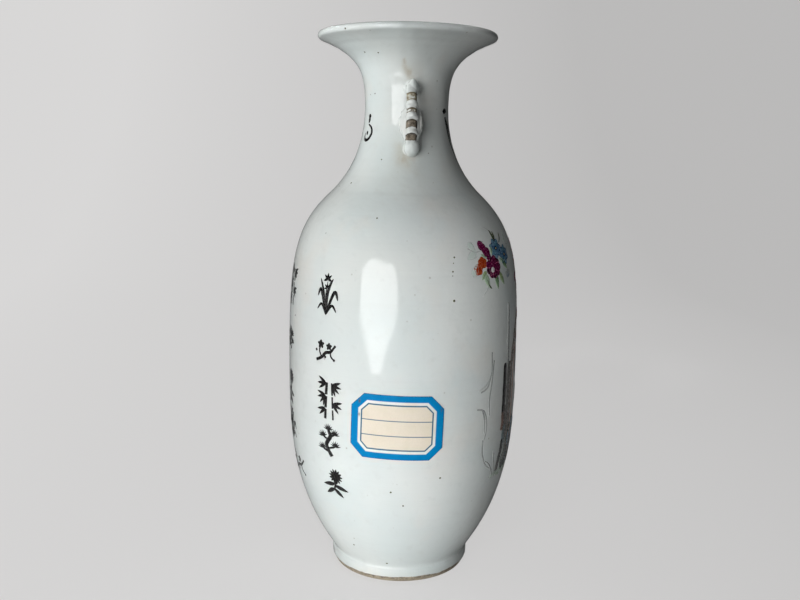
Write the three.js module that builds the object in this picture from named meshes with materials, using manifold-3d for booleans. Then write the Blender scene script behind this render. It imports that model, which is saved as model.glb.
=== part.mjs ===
// A two-handled porcelain vase, put together as a potter does it: three thrown sections
// luted to each other with slip, two press-moulded ears luted to the neck, and a gummed
// paper label stuck to the glaze. Millimetres, +Z up. The origin is the centre of the face
// that the foot rests on. The ears lie along X and the painted front faces -Y.
import * as THREE from "three";
import { mergeVertices } from "three/addons/utils/BufferGeometryUtils.js";
import Module from "manifold-3d";

const wasm = await Module();
wasm.setup();

// Driving sizes. Heights of the vase, each counted down from the one before it
const TOTAL_HEIGHT = 230;
const MOUTH_HEIGHT = 30.3; // from the top of the lip to the narrowest place of the neck
const NECK_HEIGHT = 35.7; // from there to where the shoulder stops hollowing
const SHOULDER_HEIGHT = 76.5; // from there to the widest place
const FOOT_HEIGHT = 7; // the turned ring, up to the crease where the body starts

// Radii, and the slopes between them
const FOOT_RADIUS = 30.3;
const CREASE_RADIUS = 29.6;
const CREASE_SLOPE = 0.71; // mm outwards for each mm up, where the body leaves the foot
const BELLY_RADIUS = 49.9;
const SHOULDER_TURN_RADIUS = 32.2;
const SHOULDER_TURN_SLOPE = 1.07; // mm inwards for each mm up
const NECK_RADIUS = 17.65;
const MOUTH_RADIUS = 37.5;
const FLARE_SLOPE = 0.41; // mm up for each mm outwards, under the lip

// The foot ring
const FOOT_EDGE_ROUND = 1.2; // rounding at the top of the ring
const BISCUIT_BEVEL_HEIGHT = 2.6; // the unglazed bevel round the ring's lower edge
const BISCUIT_BEVEL_WIDTH = 1.6;
const FOOT_RING_WIDTH = 3.2; // the flat that the vase stands on
const FOOT_RECESS_DEPTH = 4.6; // how far the base is hollowed inside the ring
const FOOT_RECESS_TAPER = 0.8;

// How far each curve of the outside runs straight on before it bends
const FOOT_PULL = 32;
const BELLY_PULL_DOWN = 30;
const BELLY_PULL_UP = 47;
const SHOULDER_PULL_DOWN = 22;
const SHOULDER_PULL_UP = 12.7;
const NECK_PULL_DOWN = 14.4;
const NECK_PULL_UP = 14.7;
const FLARE_PULL = 18.2;

// Walls and the joints between the thrown sections
const FOOT_WALL = 5.2;
const BODY_WALL = 4;
const LIP_THICKNESS = 2.9;
const BASE_THICKNESS = 5;
const FLOOR_CORNER = 7; // the hollow curve between the floor and the wall
const NECK_JOINT_DROP = 27.7; // below the neck's narrowest place
const SLIP_THICKNESS = 0.8;
const SLIP_RIDGE = 1; // slip squeezed out on the inside

// The ears
const EAR_TOP_RISE = 9.5; // above the neck's narrowest place
const EAR_BEADS = [4.5, 3, 2.9, 2.4, 6.4]; // heights of the glazed beads, from the top
const EAR_GROOVES = [3.1, 1.6, 2.9, 2.9]; // heights of the grooves between them
const BEAD_WIDTHS = [4.9, 5.3, 5.4, 5.2, 6];
const BEAD_SQUARENESS = [2.2, 3.6, 3.6, 3.6, 2.2]; // 2 is an oval, more is a drum
const BEAD_RISE = 0.8; // how far a bead stands out of the band
const EAR_REACH = 14.4; // from the neck's surface to the outermost bead
const EAR_BOW = 6.4; // how far the middle of the beaded edge stands out past its ends
const EAR_THICKNESS = 3.9;
const EAR_BAND_DEPTH = 4;
const EAR_BAND_BEVEL = 0.8;
const ROOT_HEIGHT = 4.8;
const ROOT_WIDTH = 4.8;
const BOSS_REACH = 10.4; // the oval scroll in the middle of the ear
const BOSS_HEIGHT = 13.4;
const BOSS_DROP = 2.4; // below the middle of the beaded edge
const BOSS_WIDTH = 9;
const BOSS_RIM_WIDTH = 4.6;
const BOSS_GAP = 1.8; // open space between the scroll and the neck
const PAD_THICKNESS = 0.6;
const PAD_MARGIN = 1.1; // slip smoothed out round each root
const SEAT_GAP = 0.3;

// The paper label
const LABEL_WIDTH = 37.2;
const LABEL_HEIGHT = 26.4;
const LABEL_CORNER = 5;
const LABEL_PAPER = 0.25;
const LABEL_DROP = 12.8; // its middle, below the widest place
const LABEL_TURN_DEG = 6; // round the vase, from the left ear towards the back
const LABEL_TILT_DEG = 1.5;

// How finely the round pieces are cut
const TURN_STEPS = 64;
const CURVE_STEPS = 9;
const LIP_STEPS = 6;
const BEAD_STEPS = 14;
const BEAD_RINGS = 10;
const BAND_STEPS = 12;
const BEVEL_STEPS = 2;
const ROOT_STEPS = 20;

const glaze = new THREE.MeshStandardMaterial({ color: 0xd4dcda, roughness: 0.12 });
const biscuit = new THREE.MeshStandardMaterial({ color: 0xc9bfa8, roughness: 0.85 });
const paper = new THREE.MeshStandardMaterial({ color: 0x1f86c4, roughness: 0.6 });

// Heights above the foot
const neckZ = TOTAL_HEIGHT - MOUTH_HEIGHT;
const shoulderTurnZ = neckZ - NECK_HEIGHT;
const bellyZ = shoulderTurnZ - SHOULDER_HEIGHT;
const neckJointZ = neckZ - NECK_JOINT_DROP;
const earTopZ = neckZ + EAR_TOP_RISE;
const labelZ = bellyZ - LABEL_DROP;

// Profiles are [radius, height] points. Each curve of the outside is one cubic curve,
// straight on for its pull at both ends.
const point = (r, z) => new THREE.Vector2(r, z);
const heading = (dr, dz) => point(dr, dz).normalize();

function pulledCurve(from, fromHeading, fromPull, to, toHeading, toPull) {
  return new THREE.CubicBezierCurve(
    from,
    from.clone().addScaledVector(fromHeading, fromPull),
    to.clone().addScaledVector(toHeading, -toPull),
    to,
  );
}

const lipRadius = LIP_THICKNESS / 2;
const lipCentre = point(MOUTH_RADIUS - lipRadius, TOTAL_HEIGHT - lipRadius);
const flareHeading = heading(1, FLARE_SLOPE);
const flareEnd = point(
  lipCentre.x + flareHeading.y * lipRadius,
  lipCentre.y - flareHeading.x * lipRadius,
);

function outsideCurves() {
  const up = heading(0, 1);
  const crease = point(CREASE_RADIUS, FOOT_HEIGHT);
  const belly = point(BELLY_RADIUS, bellyZ);
  const turn = point(SHOULDER_TURN_RADIUS, shoulderTurnZ);
  const neck = point(NECK_RADIUS, neckZ);
  const turning = heading(-SHOULDER_TURN_SLOPE, 1);
  const leaving = heading(CREASE_SLOPE, 1);
  return [
    pulledCurve(crease, leaving, FOOT_PULL, belly, up, BELLY_PULL_DOWN),
    pulledCurve(belly, up, BELLY_PULL_UP, turn, turning, SHOULDER_PULL_DOWN),
    pulledCurve(turn, turning, SHOULDER_PULL_UP, neck, up, NECK_PULL_DOWN),
    pulledCurve(neck, up, NECK_PULL_UP, flareEnd, flareHeading, FLARE_PULL),
  ];
}

// The wall's thickness goes from the foot's to the body's in the first curve, and from the
// body's to the lip's in the last.
function wallAt(curve, share) {
  const ease = share * share * (3 - 2 * share);
  if (curve === 0) return THREE.MathUtils.lerp(FOOT_WALL, BODY_WALL, ease);
  if (curve === 3) return THREE.MathUtils.lerp(BODY_WALL, LIP_THICKNESS, ease);
  return BODY_WALL;
}

function wallLines(steps) {
  const outer = [];
  const inner = [];
  outsideCurves().forEach((curve, index) => {
    for (let i = index === 0 ? 0 : 1; i <= steps; i++) {
      const share = i / steps;
      const at = curve.getPoint(share);
      const along = curve.getTangent(share);
      const wall = wallAt(index, share);
      outer.push(at);
      inner.push(point(at.x - along.y * wall, at.y + along.x * wall));
    }
  });
  return { outer, inner };
}

const { outer: outerLine, inner: innerLine } = wallLines(CURVE_STEPS);

function radiusAt(line, z) {
  for (let i = 1; i < line.length; i++) {
    const [a, b] = [line[i - 1], line[i]];
    if (a.y <= z && z <= b.y) {
      return THREE.MathUtils.mapLinear(z, a.y, b.y, a.x, b.x);
    }
  }
  return line.at(-1).x;
}

// The part of a line between two heights, with its ends cut level.
function stretch(line, low, high) {
  const apart = 0.5; // a point this close to a cut end would only make a sliver
  return [
    point(radiusAt(line, low), low),
    ...line.filter((p) => p.y > low + apart && p.y < high - apart),
    point(radiusAt(line, high), high),
  ];
}

// Solids of revolution, and what cuts and joins them
function turned(outline) {
  const closed = outline[0].x > 0 ? [...outline, outline[0].clone()] : outline;
  return new THREE.LatheGeometry(closed, TURN_STEPS).rotateX(Math.PI / 2);
}

function solidOf(geometry) {
  const bare = geometry.clone();
  bare.deleteAttribute("normal");
  bare.deleteAttribute("uv");
  const merged = mergeVertices(bare, 1e-4);
  return new wasm.Manifold(
    new wasm.Mesh({
      numProp: 3,
      vertProperties: merged.attributes.position.array,
      triVerts: new Uint32Array(merged.index.array),
    }),
  );
}

function geometryOf(solid) {
  const mesh = solid.getMesh();
  const geometry = new THREE.BufferGeometry();
  geometry.setAttribute("position", new THREE.BufferAttribute(mesh.vertProperties, 3));
  geometry.setIndex(new THREE.BufferAttribute(mesh.triVerts, 1));
  geometry.computeVertexNormals();
  return geometry;
}

function named(name, geometry, material) {
  const mesh = new THREE.Mesh(geometry, material);
  mesh.name = name;
  return mesh;
}

// The lowest section is turned: a bevelled ring outside, a hollowed base under it, and a
// floor that runs up into the wall.
function footOutline() {
  const standOuter = FOOT_RADIUS - BISCUIT_BEVEL_WIDTH;
  const standInner = standOuter - FOOT_RING_WIDTH;
  const roundCentre = point(FOOT_RADIUS - FOOT_EDGE_ROUND, FOOT_HEIGHT - FOOT_EDGE_ROUND);
  return [
    point(0, FOOT_RECESS_DEPTH),
    point(standInner - FOOT_RECESS_TAPER, FOOT_RECESS_DEPTH),
    point(standInner, 0),
    point(standOuter, 0),
    point(FOOT_RADIUS, BISCUIT_BEVEL_HEIGHT),
    point(FOOT_RADIUS, roundCentre.y),
    point(
      roundCentre.x + FOOT_EDGE_ROUND * Math.SQRT1_2,
      roundCentre.y + FOOT_EDGE_ROUND * Math.SQRT1_2,
    ),
  ];
}

function floorOutline() {
  const floorZ = FOOT_RECESS_DEPTH + BASE_THICKNESS;
  const cornerTop = floorZ + FLOOR_CORNER;
  const wall = point(radiusAt(innerLine, cornerTop), cornerTop);
  const floor = point(wall.x - FLOOR_CORNER * 2, floorZ);
  const corner = new THREE.QuadraticBezierCurve(
    wall,
    point(wall.x - FLOOR_CORNER / 2, floorZ),
    floor,
  );
  return { cornerTop, line: [...corner.getPoints(4), point(0, floorZ)] };
}

function lowerBody(top) {
  const floor = floorOutline();
  return turned([
    ...footOutline(),
    ...stretch(outerLine, FOOT_HEIGHT, top),
    ...stretch(innerLine, floor.cornerTop, top).reverse().slice(0, -1),
    ...floor.line,
  ]);
}

function wallSection(low, high) {
  return turned([
    ...stretch(outerLine, low, high),
    ...stretch(innerLine, low, high).reverse(),
  ]);
}

function lipArc() {
  const start = Math.atan2(-flareHeading.x, flareHeading.y);
  return Array.from({ length: LIP_STEPS - 1 }, (_, i) => {
    const angle = start + (Math.PI * (i + 1)) / LIP_STEPS;
    return point(
      lipCentre.x + lipRadius * Math.cos(angle),
      lipCentre.y + lipRadius * Math.sin(angle),
    );
  });
}

function neckAndMouth(low) {
  return turned([
    ...stretch(outerLine, low, outerLine.at(-1).y),
    ...lipArc(),
    ...stretch(innerLine, low, innerLine.at(-1).y).reverse(),
  ]);
}

// Slip fills each joint flush outside, and is squeezed into a ridge inside.
function slipRing(low) {
  const high = low + SLIP_THICKNESS;
  const middle = low + SLIP_THICKNESS / 2;
  return turned([
    point(radiusAt(outerLine, low), low),
    point(radiusAt(outerLine, high), high),
    point(radiusAt(innerLine, high), high),
    point(radiusAt(innerLine, middle) - SLIP_RIDGE, middle),
    point(radiusAt(innerLine, low), low),
  ]);
}

// A round solid inside the outer line, grown outwards by a gap, for cutting what sits on it.
function grownCore(gap, low, high) {
  const grown = stretch(outerLine, low, high).map((p) => point(p.x + gap, p.y));
  return solidOf(turned([point(0, low), ...grown, point(0, high)]));
}

const skin = (inner, outer, low, high) =>
  grownCore(outer, low, high).subtract(grownCore(inner, low, high));

// The ears are made on the +X side, in the XZ plane, and turned to their side at the end.
const earHeight = [...EAR_BEADS, ...EAR_GROOVES].reduce((sum, part) => sum + part);
const earBottomZ = earTopZ - earHeight;
const topRootZ = earTopZ - ROOT_HEIGHT / 2;
const bottomRootZ = earBottomZ + EAR_BEADS.at(-1) / 2;
const bandMiddleZ = (topRootZ + bottomRootZ) / 2;
const bandOutX = NECK_RADIUS + EAR_REACH - BEAD_RISE;
const bandHalfChord = (topRootZ - bottomRootZ) / 2;
const bandRadius = (bandHalfChord ** 2 + EAR_BOW ** 2) / (2 * EAR_BOW);
const bandCentreX = bandOutX - bandRadius - EAR_BAND_DEPTH / 2;
const bandHalfAngle = Math.asin(bandHalfChord / bandRadius);

function bandSolid() {
  const shape = new THREE.Shape();
  const halfDepth = EAR_BAND_DEPTH / 2 - EAR_BAND_BEVEL;
  shape.absarc(0, 0, bandRadius + halfDepth, -bandHalfAngle, bandHalfAngle, false);
  shape.absarc(0, 0, bandRadius - halfDepth, bandHalfAngle, -bandHalfAngle, true);
  shape.closePath();
  const depth = EAR_THICKNESS - 2 * EAR_BAND_BEVEL;
  const geometry = new THREE.ExtrudeGeometry(shape, {
    depth,
    bevelThickness: EAR_BAND_BEVEL,
    bevelSize: EAR_BAND_BEVEL,
    bevelSegments: BEVEL_STEPS,
    curveSegments: BAND_STEPS,
  });
  geometry.translate(0, 0, -depth / 2).rotateX(Math.PI / 2);
  return solidOf(geometry.translate(bandCentreX, 0, bandMiddleZ));
}

// A bead is a rounded drum threaded on the band. Its outline is a superellipse, and its
// place follows from the heights above it.
function beadSolid(index) {
  const above = EAR_BEADS.slice(0, index).concat(EAR_GROOVES.slice(0, index));
  const middle = earTopZ - above.reduce((sum, part) => sum + part, 0) - EAR_BEADS[index] / 2;
  const lift = THREE.MathUtils.clamp((middle - bandMiddleZ) / bandRadius, -1, 1);
  const angle = Math.asin(lift);
  const power = 2 / BEAD_SQUARENESS[index];
  const outline = Array.from({ length: BEAD_RINGS + 1 }, (_, i) => {
    const turn = Math.PI * (i / BEAD_RINGS - 0.5);
    const radius = i % BEAD_RINGS === 0 ? 0 : Math.cos(turn) ** power;
    return point(radius, Math.sign(turn) * Math.abs(Math.sin(turn)) ** power);
  });
  const geometry = new THREE.LatheGeometry(outline, BEAD_STEPS);
  geometry.rotateX(Math.PI / 2).scale(
    EAR_BAND_DEPTH / 2 + BEAD_RISE,
    BEAD_WIDTHS[index] / 2,
    EAR_BEADS[index] / 2 / Math.cos(angle),
  );
  geometry.rotateY(-angle);
  return solidOf(
    geometry.translate(bandCentreX + bandRadius * Math.cos(angle), 0, middle),
  );
}

// An oval arm from inside the neck out to the end of the band.
function rootSolid(z) {
  const reach = bandCentreX + bandRadius * Math.cos(bandHalfAngle);
  const geometry = new THREE.CylinderGeometry(1, 1, reach, ROOT_STEPS);
  geometry.rotateZ(Math.PI / 2).scale(1, ROOT_HEIGHT / 2, ROOT_WIDTH / 2);
  geometry.rotateX(Math.PI / 2);
  return solidOf(geometry.translate(reach / 2, 0, z));
}

// The scroll's boss, domed on both faces.
function bossSolid() {
  const dome = (BOSS_WIDTH - BOSS_RIM_WIDTH) / 2;
  const outline = [point(0, -BOSS_WIDTH / 2)];
  for (const share of [0.45, 0.8, 1]) {
    const height = BOSS_RIM_WIDTH / 2 + dome * Math.sqrt(1 - share ** 2);
    outline.push(point(share, -height));
  }
  const mirrored = outline.map((p) => point(p.x, -p.y)).reverse();
  const geometry = new THREE.LatheGeometry([...outline, ...mirrored], ROOT_STEPS);
  geometry.scale(BOSS_REACH / 2, 1, BOSS_HEIGHT / 2);
  const x = NECK_RADIUS + BOSS_GAP + BOSS_REACH / 2;
  return solidOf(geometry.translate(x, 0, bandMiddleZ - BOSS_DROP));
}

function earSolid() {
  const pieces = EAR_BEADS.map((_, index) => beadSolid(index));
  pieces.push(rootSolid(topRootZ), rootSolid(bottomRootZ), bossSolid());
  const whole = pieces.reduce((joined, piece) => joined.add(piece), bandSolid());
  const seat = SEAT_GAP + PAD_THICKNESS + SEAT_GAP;
  return whole.subtract(grownCore(seat, neckJointZ, TOTAL_HEIGHT - LIP_THICKNESS));
}

// Slip under a root: a thin oval patch of the neck's surface, a little larger than the root.
function padSolid(z) {
  const low = z - ROOT_HEIGHT;
  const high = z + ROOT_HEIGHT;
  const layer = skin(SEAT_GAP, SEAT_GAP + PAD_THICKNESS, low, high);
  const geometry = new THREE.CylinderGeometry(1, 1, BELLY_RADIUS, ROOT_STEPS);
  geometry.rotateZ(Math.PI / 2);
  geometry.scale(1, ROOT_WIDTH / 2 + PAD_MARGIN, ROOT_HEIGHT / 2 + PAD_MARGIN);
  return layer.intersect(solidOf(geometry.translate(BELLY_RADIUS / 2, 0, z)));
}

function ear(side) {
  const group = new THREE.Group();
  group.add(named(`ear_${side}`, geometryOf(earSolid()), glaze));
  group.add(named(`ear_${side}_upper_slip`, geometryOf(padSolid(topRootZ)), biscuit));
  group.add(named(`ear_${side}_lower_slip`, geometryOf(padSolid(bottomRootZ)), biscuit));
  group.rotation.z = side === "left" ? Math.PI : 0;
  return group;
}

// An eight-cornered label, wrapped on the glaze under the left ear.
function label() {
  const [halfWidth, halfHeight] = [LABEL_WIDTH / 2, LABEL_HEIGHT / 2];
  const shape = new THREE.Shape([
    point(-halfWidth, -halfHeight + LABEL_CORNER),
    point(-halfWidth + LABEL_CORNER, -halfHeight),
    point(halfWidth - LABEL_CORNER, -halfHeight),
    point(halfWidth, -halfHeight + LABEL_CORNER),
    point(halfWidth, halfHeight - LABEL_CORNER),
    point(halfWidth - LABEL_CORNER, halfHeight),
    point(-halfWidth + LABEL_CORNER, halfHeight),
    point(-halfWidth, halfHeight - LABEL_CORNER),
  ]);
  const through = new THREE.ExtrudeGeometry(shape, { depth: BELLY_RADIUS * 2, bevelEnabled: false });
  through.rotateZ(THREE.MathUtils.degToRad(LABEL_TILT_DEG));
  through.rotateX(Math.PI / 2).rotateZ(Math.PI / 2).translate(0, 0, labelZ);
  const layer = skin(SEAT_GAP, SEAT_GAP + LABEL_PAPER, labelZ - LABEL_HEIGHT, labelZ + LABEL_HEIGHT);
  const mesh = named("price_label", geometryOf(layer.intersect(solidOf(through))), paper);
  mesh.rotation.z = Math.PI - THREE.MathUtils.degToRad(LABEL_TURN_DEG);
  return mesh;
}

const vase = new THREE.Group();
vase.add(named("lower_body", lowerBody(bellyZ), glaze));
vase.add(named("belly_slip", slipRing(bellyZ), biscuit));
vase.add(named("upper_body", wallSection(bellyZ + SLIP_THICKNESS, neckJointZ), glaze));
vase.add(named("neck_slip", slipRing(neckJointZ), biscuit));
vase.add(named("neck_and_mouth", neckAndMouth(neckJointZ + SLIP_THICKNESS), glaze));
vase.add(ear("left"), ear("right"), label());

export default vase;
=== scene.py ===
"""A two-handled porcelain vase, painted in famille rose enamels, on a pale studio floor.

Lengths are metres in the vase's own frame: +Z up from the foot, the ears along X, and the
painted front towards -Y. Sizes that a potter would give are written in millimetres, times MM.
A place on the vase is a turn in degrees, counted from the left ear (-X) towards the painted
front (-Y), and a height above the foot.
"""
import bisect
import math
import random

import bmesh
import bpy
from mathutils import Matrix, Vector, noise


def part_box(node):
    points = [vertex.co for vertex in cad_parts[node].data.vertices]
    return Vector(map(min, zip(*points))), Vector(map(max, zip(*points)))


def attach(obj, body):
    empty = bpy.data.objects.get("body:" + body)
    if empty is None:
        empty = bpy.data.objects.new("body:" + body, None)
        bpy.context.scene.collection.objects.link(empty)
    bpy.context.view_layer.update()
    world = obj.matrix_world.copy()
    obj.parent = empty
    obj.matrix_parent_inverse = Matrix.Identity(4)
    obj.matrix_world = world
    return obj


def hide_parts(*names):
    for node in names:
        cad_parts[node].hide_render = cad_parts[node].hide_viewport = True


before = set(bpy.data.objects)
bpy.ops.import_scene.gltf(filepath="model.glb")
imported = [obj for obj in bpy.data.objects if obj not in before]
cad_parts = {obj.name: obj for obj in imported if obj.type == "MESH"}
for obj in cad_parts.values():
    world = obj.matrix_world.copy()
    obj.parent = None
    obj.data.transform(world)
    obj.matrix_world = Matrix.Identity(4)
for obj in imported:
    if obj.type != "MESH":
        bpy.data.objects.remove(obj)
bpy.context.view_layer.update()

MM = 0.001

# Camera, from the outline of the vase in the photograph
CAMERA_TURN = -4.0
CAMERA_DISTANCE = 380.9 * MM
CAMERA_HEIGHT = 180.9 * MM
CAMERA_DOWN = math.radians(9.47)
CAMERA_ROLL = math.radians(0.945)
CAMERA_YAW = math.radians(0.225)
CAMERA_LENS = 39.63
SENSOR_WIDTH = 36.0

# The vase's outside, from the foot up
ENAMEL_ROOM = 0.15 * MM  # between the belly and the side of the CAD's box
total_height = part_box("neck_and_mouth")[1].z
belly_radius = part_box("lower_body")[1].x - ENAMEL_ROOM
belly_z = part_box("lower_body")[1].z
mouth_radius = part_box("neck_and_mouth")[1].x
FOOT_HEIGHT = 7 * MM
FOOT_RADIUS = 30.3 * MM
FOOT_EDGE_ROUND = 1.2 * MM
BISCUIT_HEIGHT = 2.6 * MM
BISCUIT_WIDTH = 1.6 * MM
FOOT_RING_WIDTH = 3.2 * MM
FOOT_RECESS_DEPTH = 4.6 * MM
BASE_THICKNESS = 5 * MM
FLOOR_Z = FOOT_RECESS_DEPTH + BASE_THICKNESS
FLOOR_CORNER = 7 * MM
CREASE_RADIUS = 29.6 * MM
CREASE_SLOPE = 0.71
SHOULDER_TURN_RADIUS = 32.2 * MM
SHOULDER_TURN_Z = 164 * MM
SHOULDER_TURN_SLOPE = 1.07
NECK_RADIUS = 17.65 * MM
NECK_Z = 199.7 * MM
FLARE_SLOPE = 0.41
LIP_THICKNESS = 2.9 * MM
FOOT_WALL = 5.2 * MM
BODY_WALL = 4 * MM
FOOT_PULL = 32 * MM
BELLY_PULL_DOWN = 30 * MM
BELLY_PULL_UP = 47 * MM
SHOULDER_PULL_DOWN = 22 * MM
SHOULDER_PULL_UP = 12.7 * MM
NECK_PULL_DOWN = 14.4 * MM
NECK_PULL_UP = 14.7 * MM
FLARE_PULL = 18.2 * MM
CREASE_SOFTNESS = 1.5 * MM  # how far glaze fills the crease to each side
RIDGES = [(0.03, 7.3, 0.4), (0.018, 4.1, 1.9), (0.01, 2.6, 3.3)]  # depth, pitch, phase
LIP_GROOVES = [(0.09, 3.4, 0.8), (0.12, 7.6, 1.1)]  # depth, place below the lip, width

CURVE_STEPS = 40
LIP_STEPS = 16
TURN_STEPS = 192


# The wall

def heading(dr, dz):
    return Vector((dr, dz)).normalized()


def pulled_curve(start, start_way, start_pull, end, end_way, end_pull):
    """Points of a cubic curve that leaves and arrives straight for its pulls."""
    a, d = Vector(start), Vector(end)
    b = a + start_way * start_pull
    c = d - end_way * end_pull
    points = []
    for i in range(CURVE_STEPS + 1):
        t = i / CURVE_STEPS
        u = 1 - t
        points.append(a * u**3 + b * (3 * u * u * t) + c * (3 * u * t * t) + d * t**3)
    return points


def outside_line():
    """The outside of the wall from the foot's crease to the lip, as (radius, height)."""
    up = heading(0, 1)
    turning = heading(-SHOULDER_TURN_SLOPE, 1)
    crease = (CREASE_RADIUS, FOOT_HEIGHT)
    belly = (belly_radius, belly_z)
    turn = (SHOULDER_TURN_RADIUS, SHOULDER_TURN_Z)
    neck = (NECK_RADIUS, NECK_Z)
    curves = [
        pulled_curve(crease, heading(CREASE_SLOPE, 1), FOOT_PULL, belly, up, BELLY_PULL_DOWN),
        pulled_curve(belly, up, BELLY_PULL_UP, turn, turning, SHOULDER_PULL_DOWN),
        pulled_curve(turn, turning, SHOULDER_PULL_UP, neck, up, NECK_PULL_DOWN),
        pulled_curve(neck, up, NECK_PULL_UP, flare_end, flare_way, FLARE_PULL),
    ]
    line = curves[0][:1]
    for curve in curves:
        line.extend(curve[1:])
    return line


def hand_turned(line):
    """The line with a potter's faint ridges, and two turning grooves under the lip."""
    length = 0.0
    total = sum((b - a).length for a, b in zip(line, line[1:]))
    turned = [line[0]]
    for before, here, after in zip(line, line[1:], line[2:]):
        length += (here - before).length
        way = (after - before).normalized()
        offset = 0.0
        for depth, pitch, phase in RIDGES:
            offset -= depth * MM * (1 + math.sin(math.tau * length / (pitch * MM) + phase)) / 2
        for depth, below, width in LIP_GROOVES:
            away = (total - length - below * MM) / (width * MM)
            offset -= depth * MM * math.exp(-away * away)
        fade = min(length / (6 * MM), (total - length) / (2 * MM), 1)
        turned.append(here + offset * fade * Vector((way.y, -way.x)))
    turned.append(line[-1])
    return turned


def rounded_corner(before, corner, after, steps=6):
    """Points of the curve that cuts a corner, from a point before it to one after it."""
    points = []
    for i in range(steps + 1):
        share = i / steps
        first, last = before.lerp(corner, share), corner.lerp(after, share)
        points.append(first.lerp(last, share))
    return points


lip_radius = LIP_THICKNESS / 2
lip_centre = Vector((mouth_radius - lip_radius, total_height - lip_radius))
flare_way = heading(1, FLARE_SLOPE)
flare_end = lip_centre + lip_radius * Vector((flare_way.y, -flare_way.x))
wall_line = hand_turned(outside_line())


def smooth_share(value, low, high):
    share = min(max((value - low) / (high - low), 0), 1)
    return share * share * (3 - 2 * share)


def wall_thickness(z):
    grown = smooth_share(z, FOOT_HEIGHT, belly_z)
    thickness = FOOT_WALL + (BODY_WALL - FOOT_WALL) * grown
    return thickness + (LIP_THICKNESS - BODY_WALL) * smooth_share(z, NECK_Z, total_height)


def inside_line():
    """The outside moved inwards by the wall, from the lip down to the floor's corner."""
    inner = []
    for i in range(0, len(wall_line), 2):
        here = wall_line[i]
        before = wall_line[max(i - 1, 0)]
        after = wall_line[min(i + 1, len(wall_line) - 1)]
        way = (after - before).normalized()
        inner.append(here + wall_thickness(here.y) * Vector((-way.y, way.x)))
    return [p for p in reversed(inner) if p.y > FLOOR_Z + FLOOR_CORNER]


def lip_outline():
    start = math.atan2(-flare_way.x, flare_way.y)
    points = []
    for i in range(1, LIP_STEPS):
        angle = start + math.pi * i / LIP_STEPS
        points.append(lip_centre + lip_radius * Vector((math.cos(angle), math.sin(angle))))
    return points


class Wall:
    """The outside surface, measured along its outline."""

    def __init__(self, line):
        self.line = line
        self.heights = [p.y for p in line]
        self.lengths = [0.0]
        for a, b in zip(line, line[1:]):
            self.lengths.append(self.lengths[-1] + (b - a).length)

    def span(self, values, value):
        """The stretch of the outline that holds a value, and how far along it is."""
        i = min(max(bisect.bisect_left(values, value), 1), len(values) - 1)
        return i, (value - values[i - 1]) / (values[i] - values[i - 1])

    def length_at(self, z):
        i, share = self.span(self.heights, z)
        return self.lengths[i - 1] + share * (self.lengths[i] - self.lengths[i - 1])

    def spot(self, turn, z, x=0.0, y=0.0, lift=0.0):
        """The point x to the right of and y above a place, seen from outside, and lifted off."""
        i, share = self.span(self.lengths, self.length_at(z) + y)
        a, b = self.line[i - 1], self.line[i]
        here, way = a.lerp(b, share), (b - a).normalized()
        raised = here + Vector((way.y, -way.x)) * lift
        return around(turn + math.degrees(x / here.x), raised.x, raised.y)


def around(turn, radius, z):
    """The point at a turn round the vase, a radius from its axis and a height."""
    angle = math.radians(turn)
    return Vector((-radius * math.cos(angle), -radius * math.sin(angle), z))


# The enamel's wall goes over the lip and a little way in
wall = Wall(wall_line + lip_outline()[:LIP_STEPS * 3 // 4])


# Making pieces and materials

GLAZE_SHINE = 0.5  # how mirror-like a surface is, seen straight on
PAPER_SHINE = 0.08


def mesh_of(bm, name):
    """The mesh of a bmesh, which is let go."""
    mesh = bpy.data.meshes.new(name)
    bm.to_mesh(mesh)
    bm.free()
    return mesh


def join_into(bm, part):
    """Adds a small mesh to a large one, which is quicker than making it in place."""
    mesh = mesh_of(part, "part")
    bm.from_mesh(mesh)
    bpy.data.meshes.remove(mesh)


def show(name, data):
    made = bpy.data.objects.new(name, data)
    bpy.context.scene.collection.objects.link(made)
    return made


def finish_piece(mesh, name, material):
    mesh.shade_smooth()
    mesh.materials.clear()
    mesh.materials.append(material)
    piece = show(name, mesh)
    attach(piece, "root")
    return piece


def thicken(piece, name, thickness):
    """Gives a sheet its thickness, under the face that shows."""
    depth = piece.modifiers.new(name, "SOLIDIFY")
    depth.thickness = thickness
    depth.offset = -1


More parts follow.
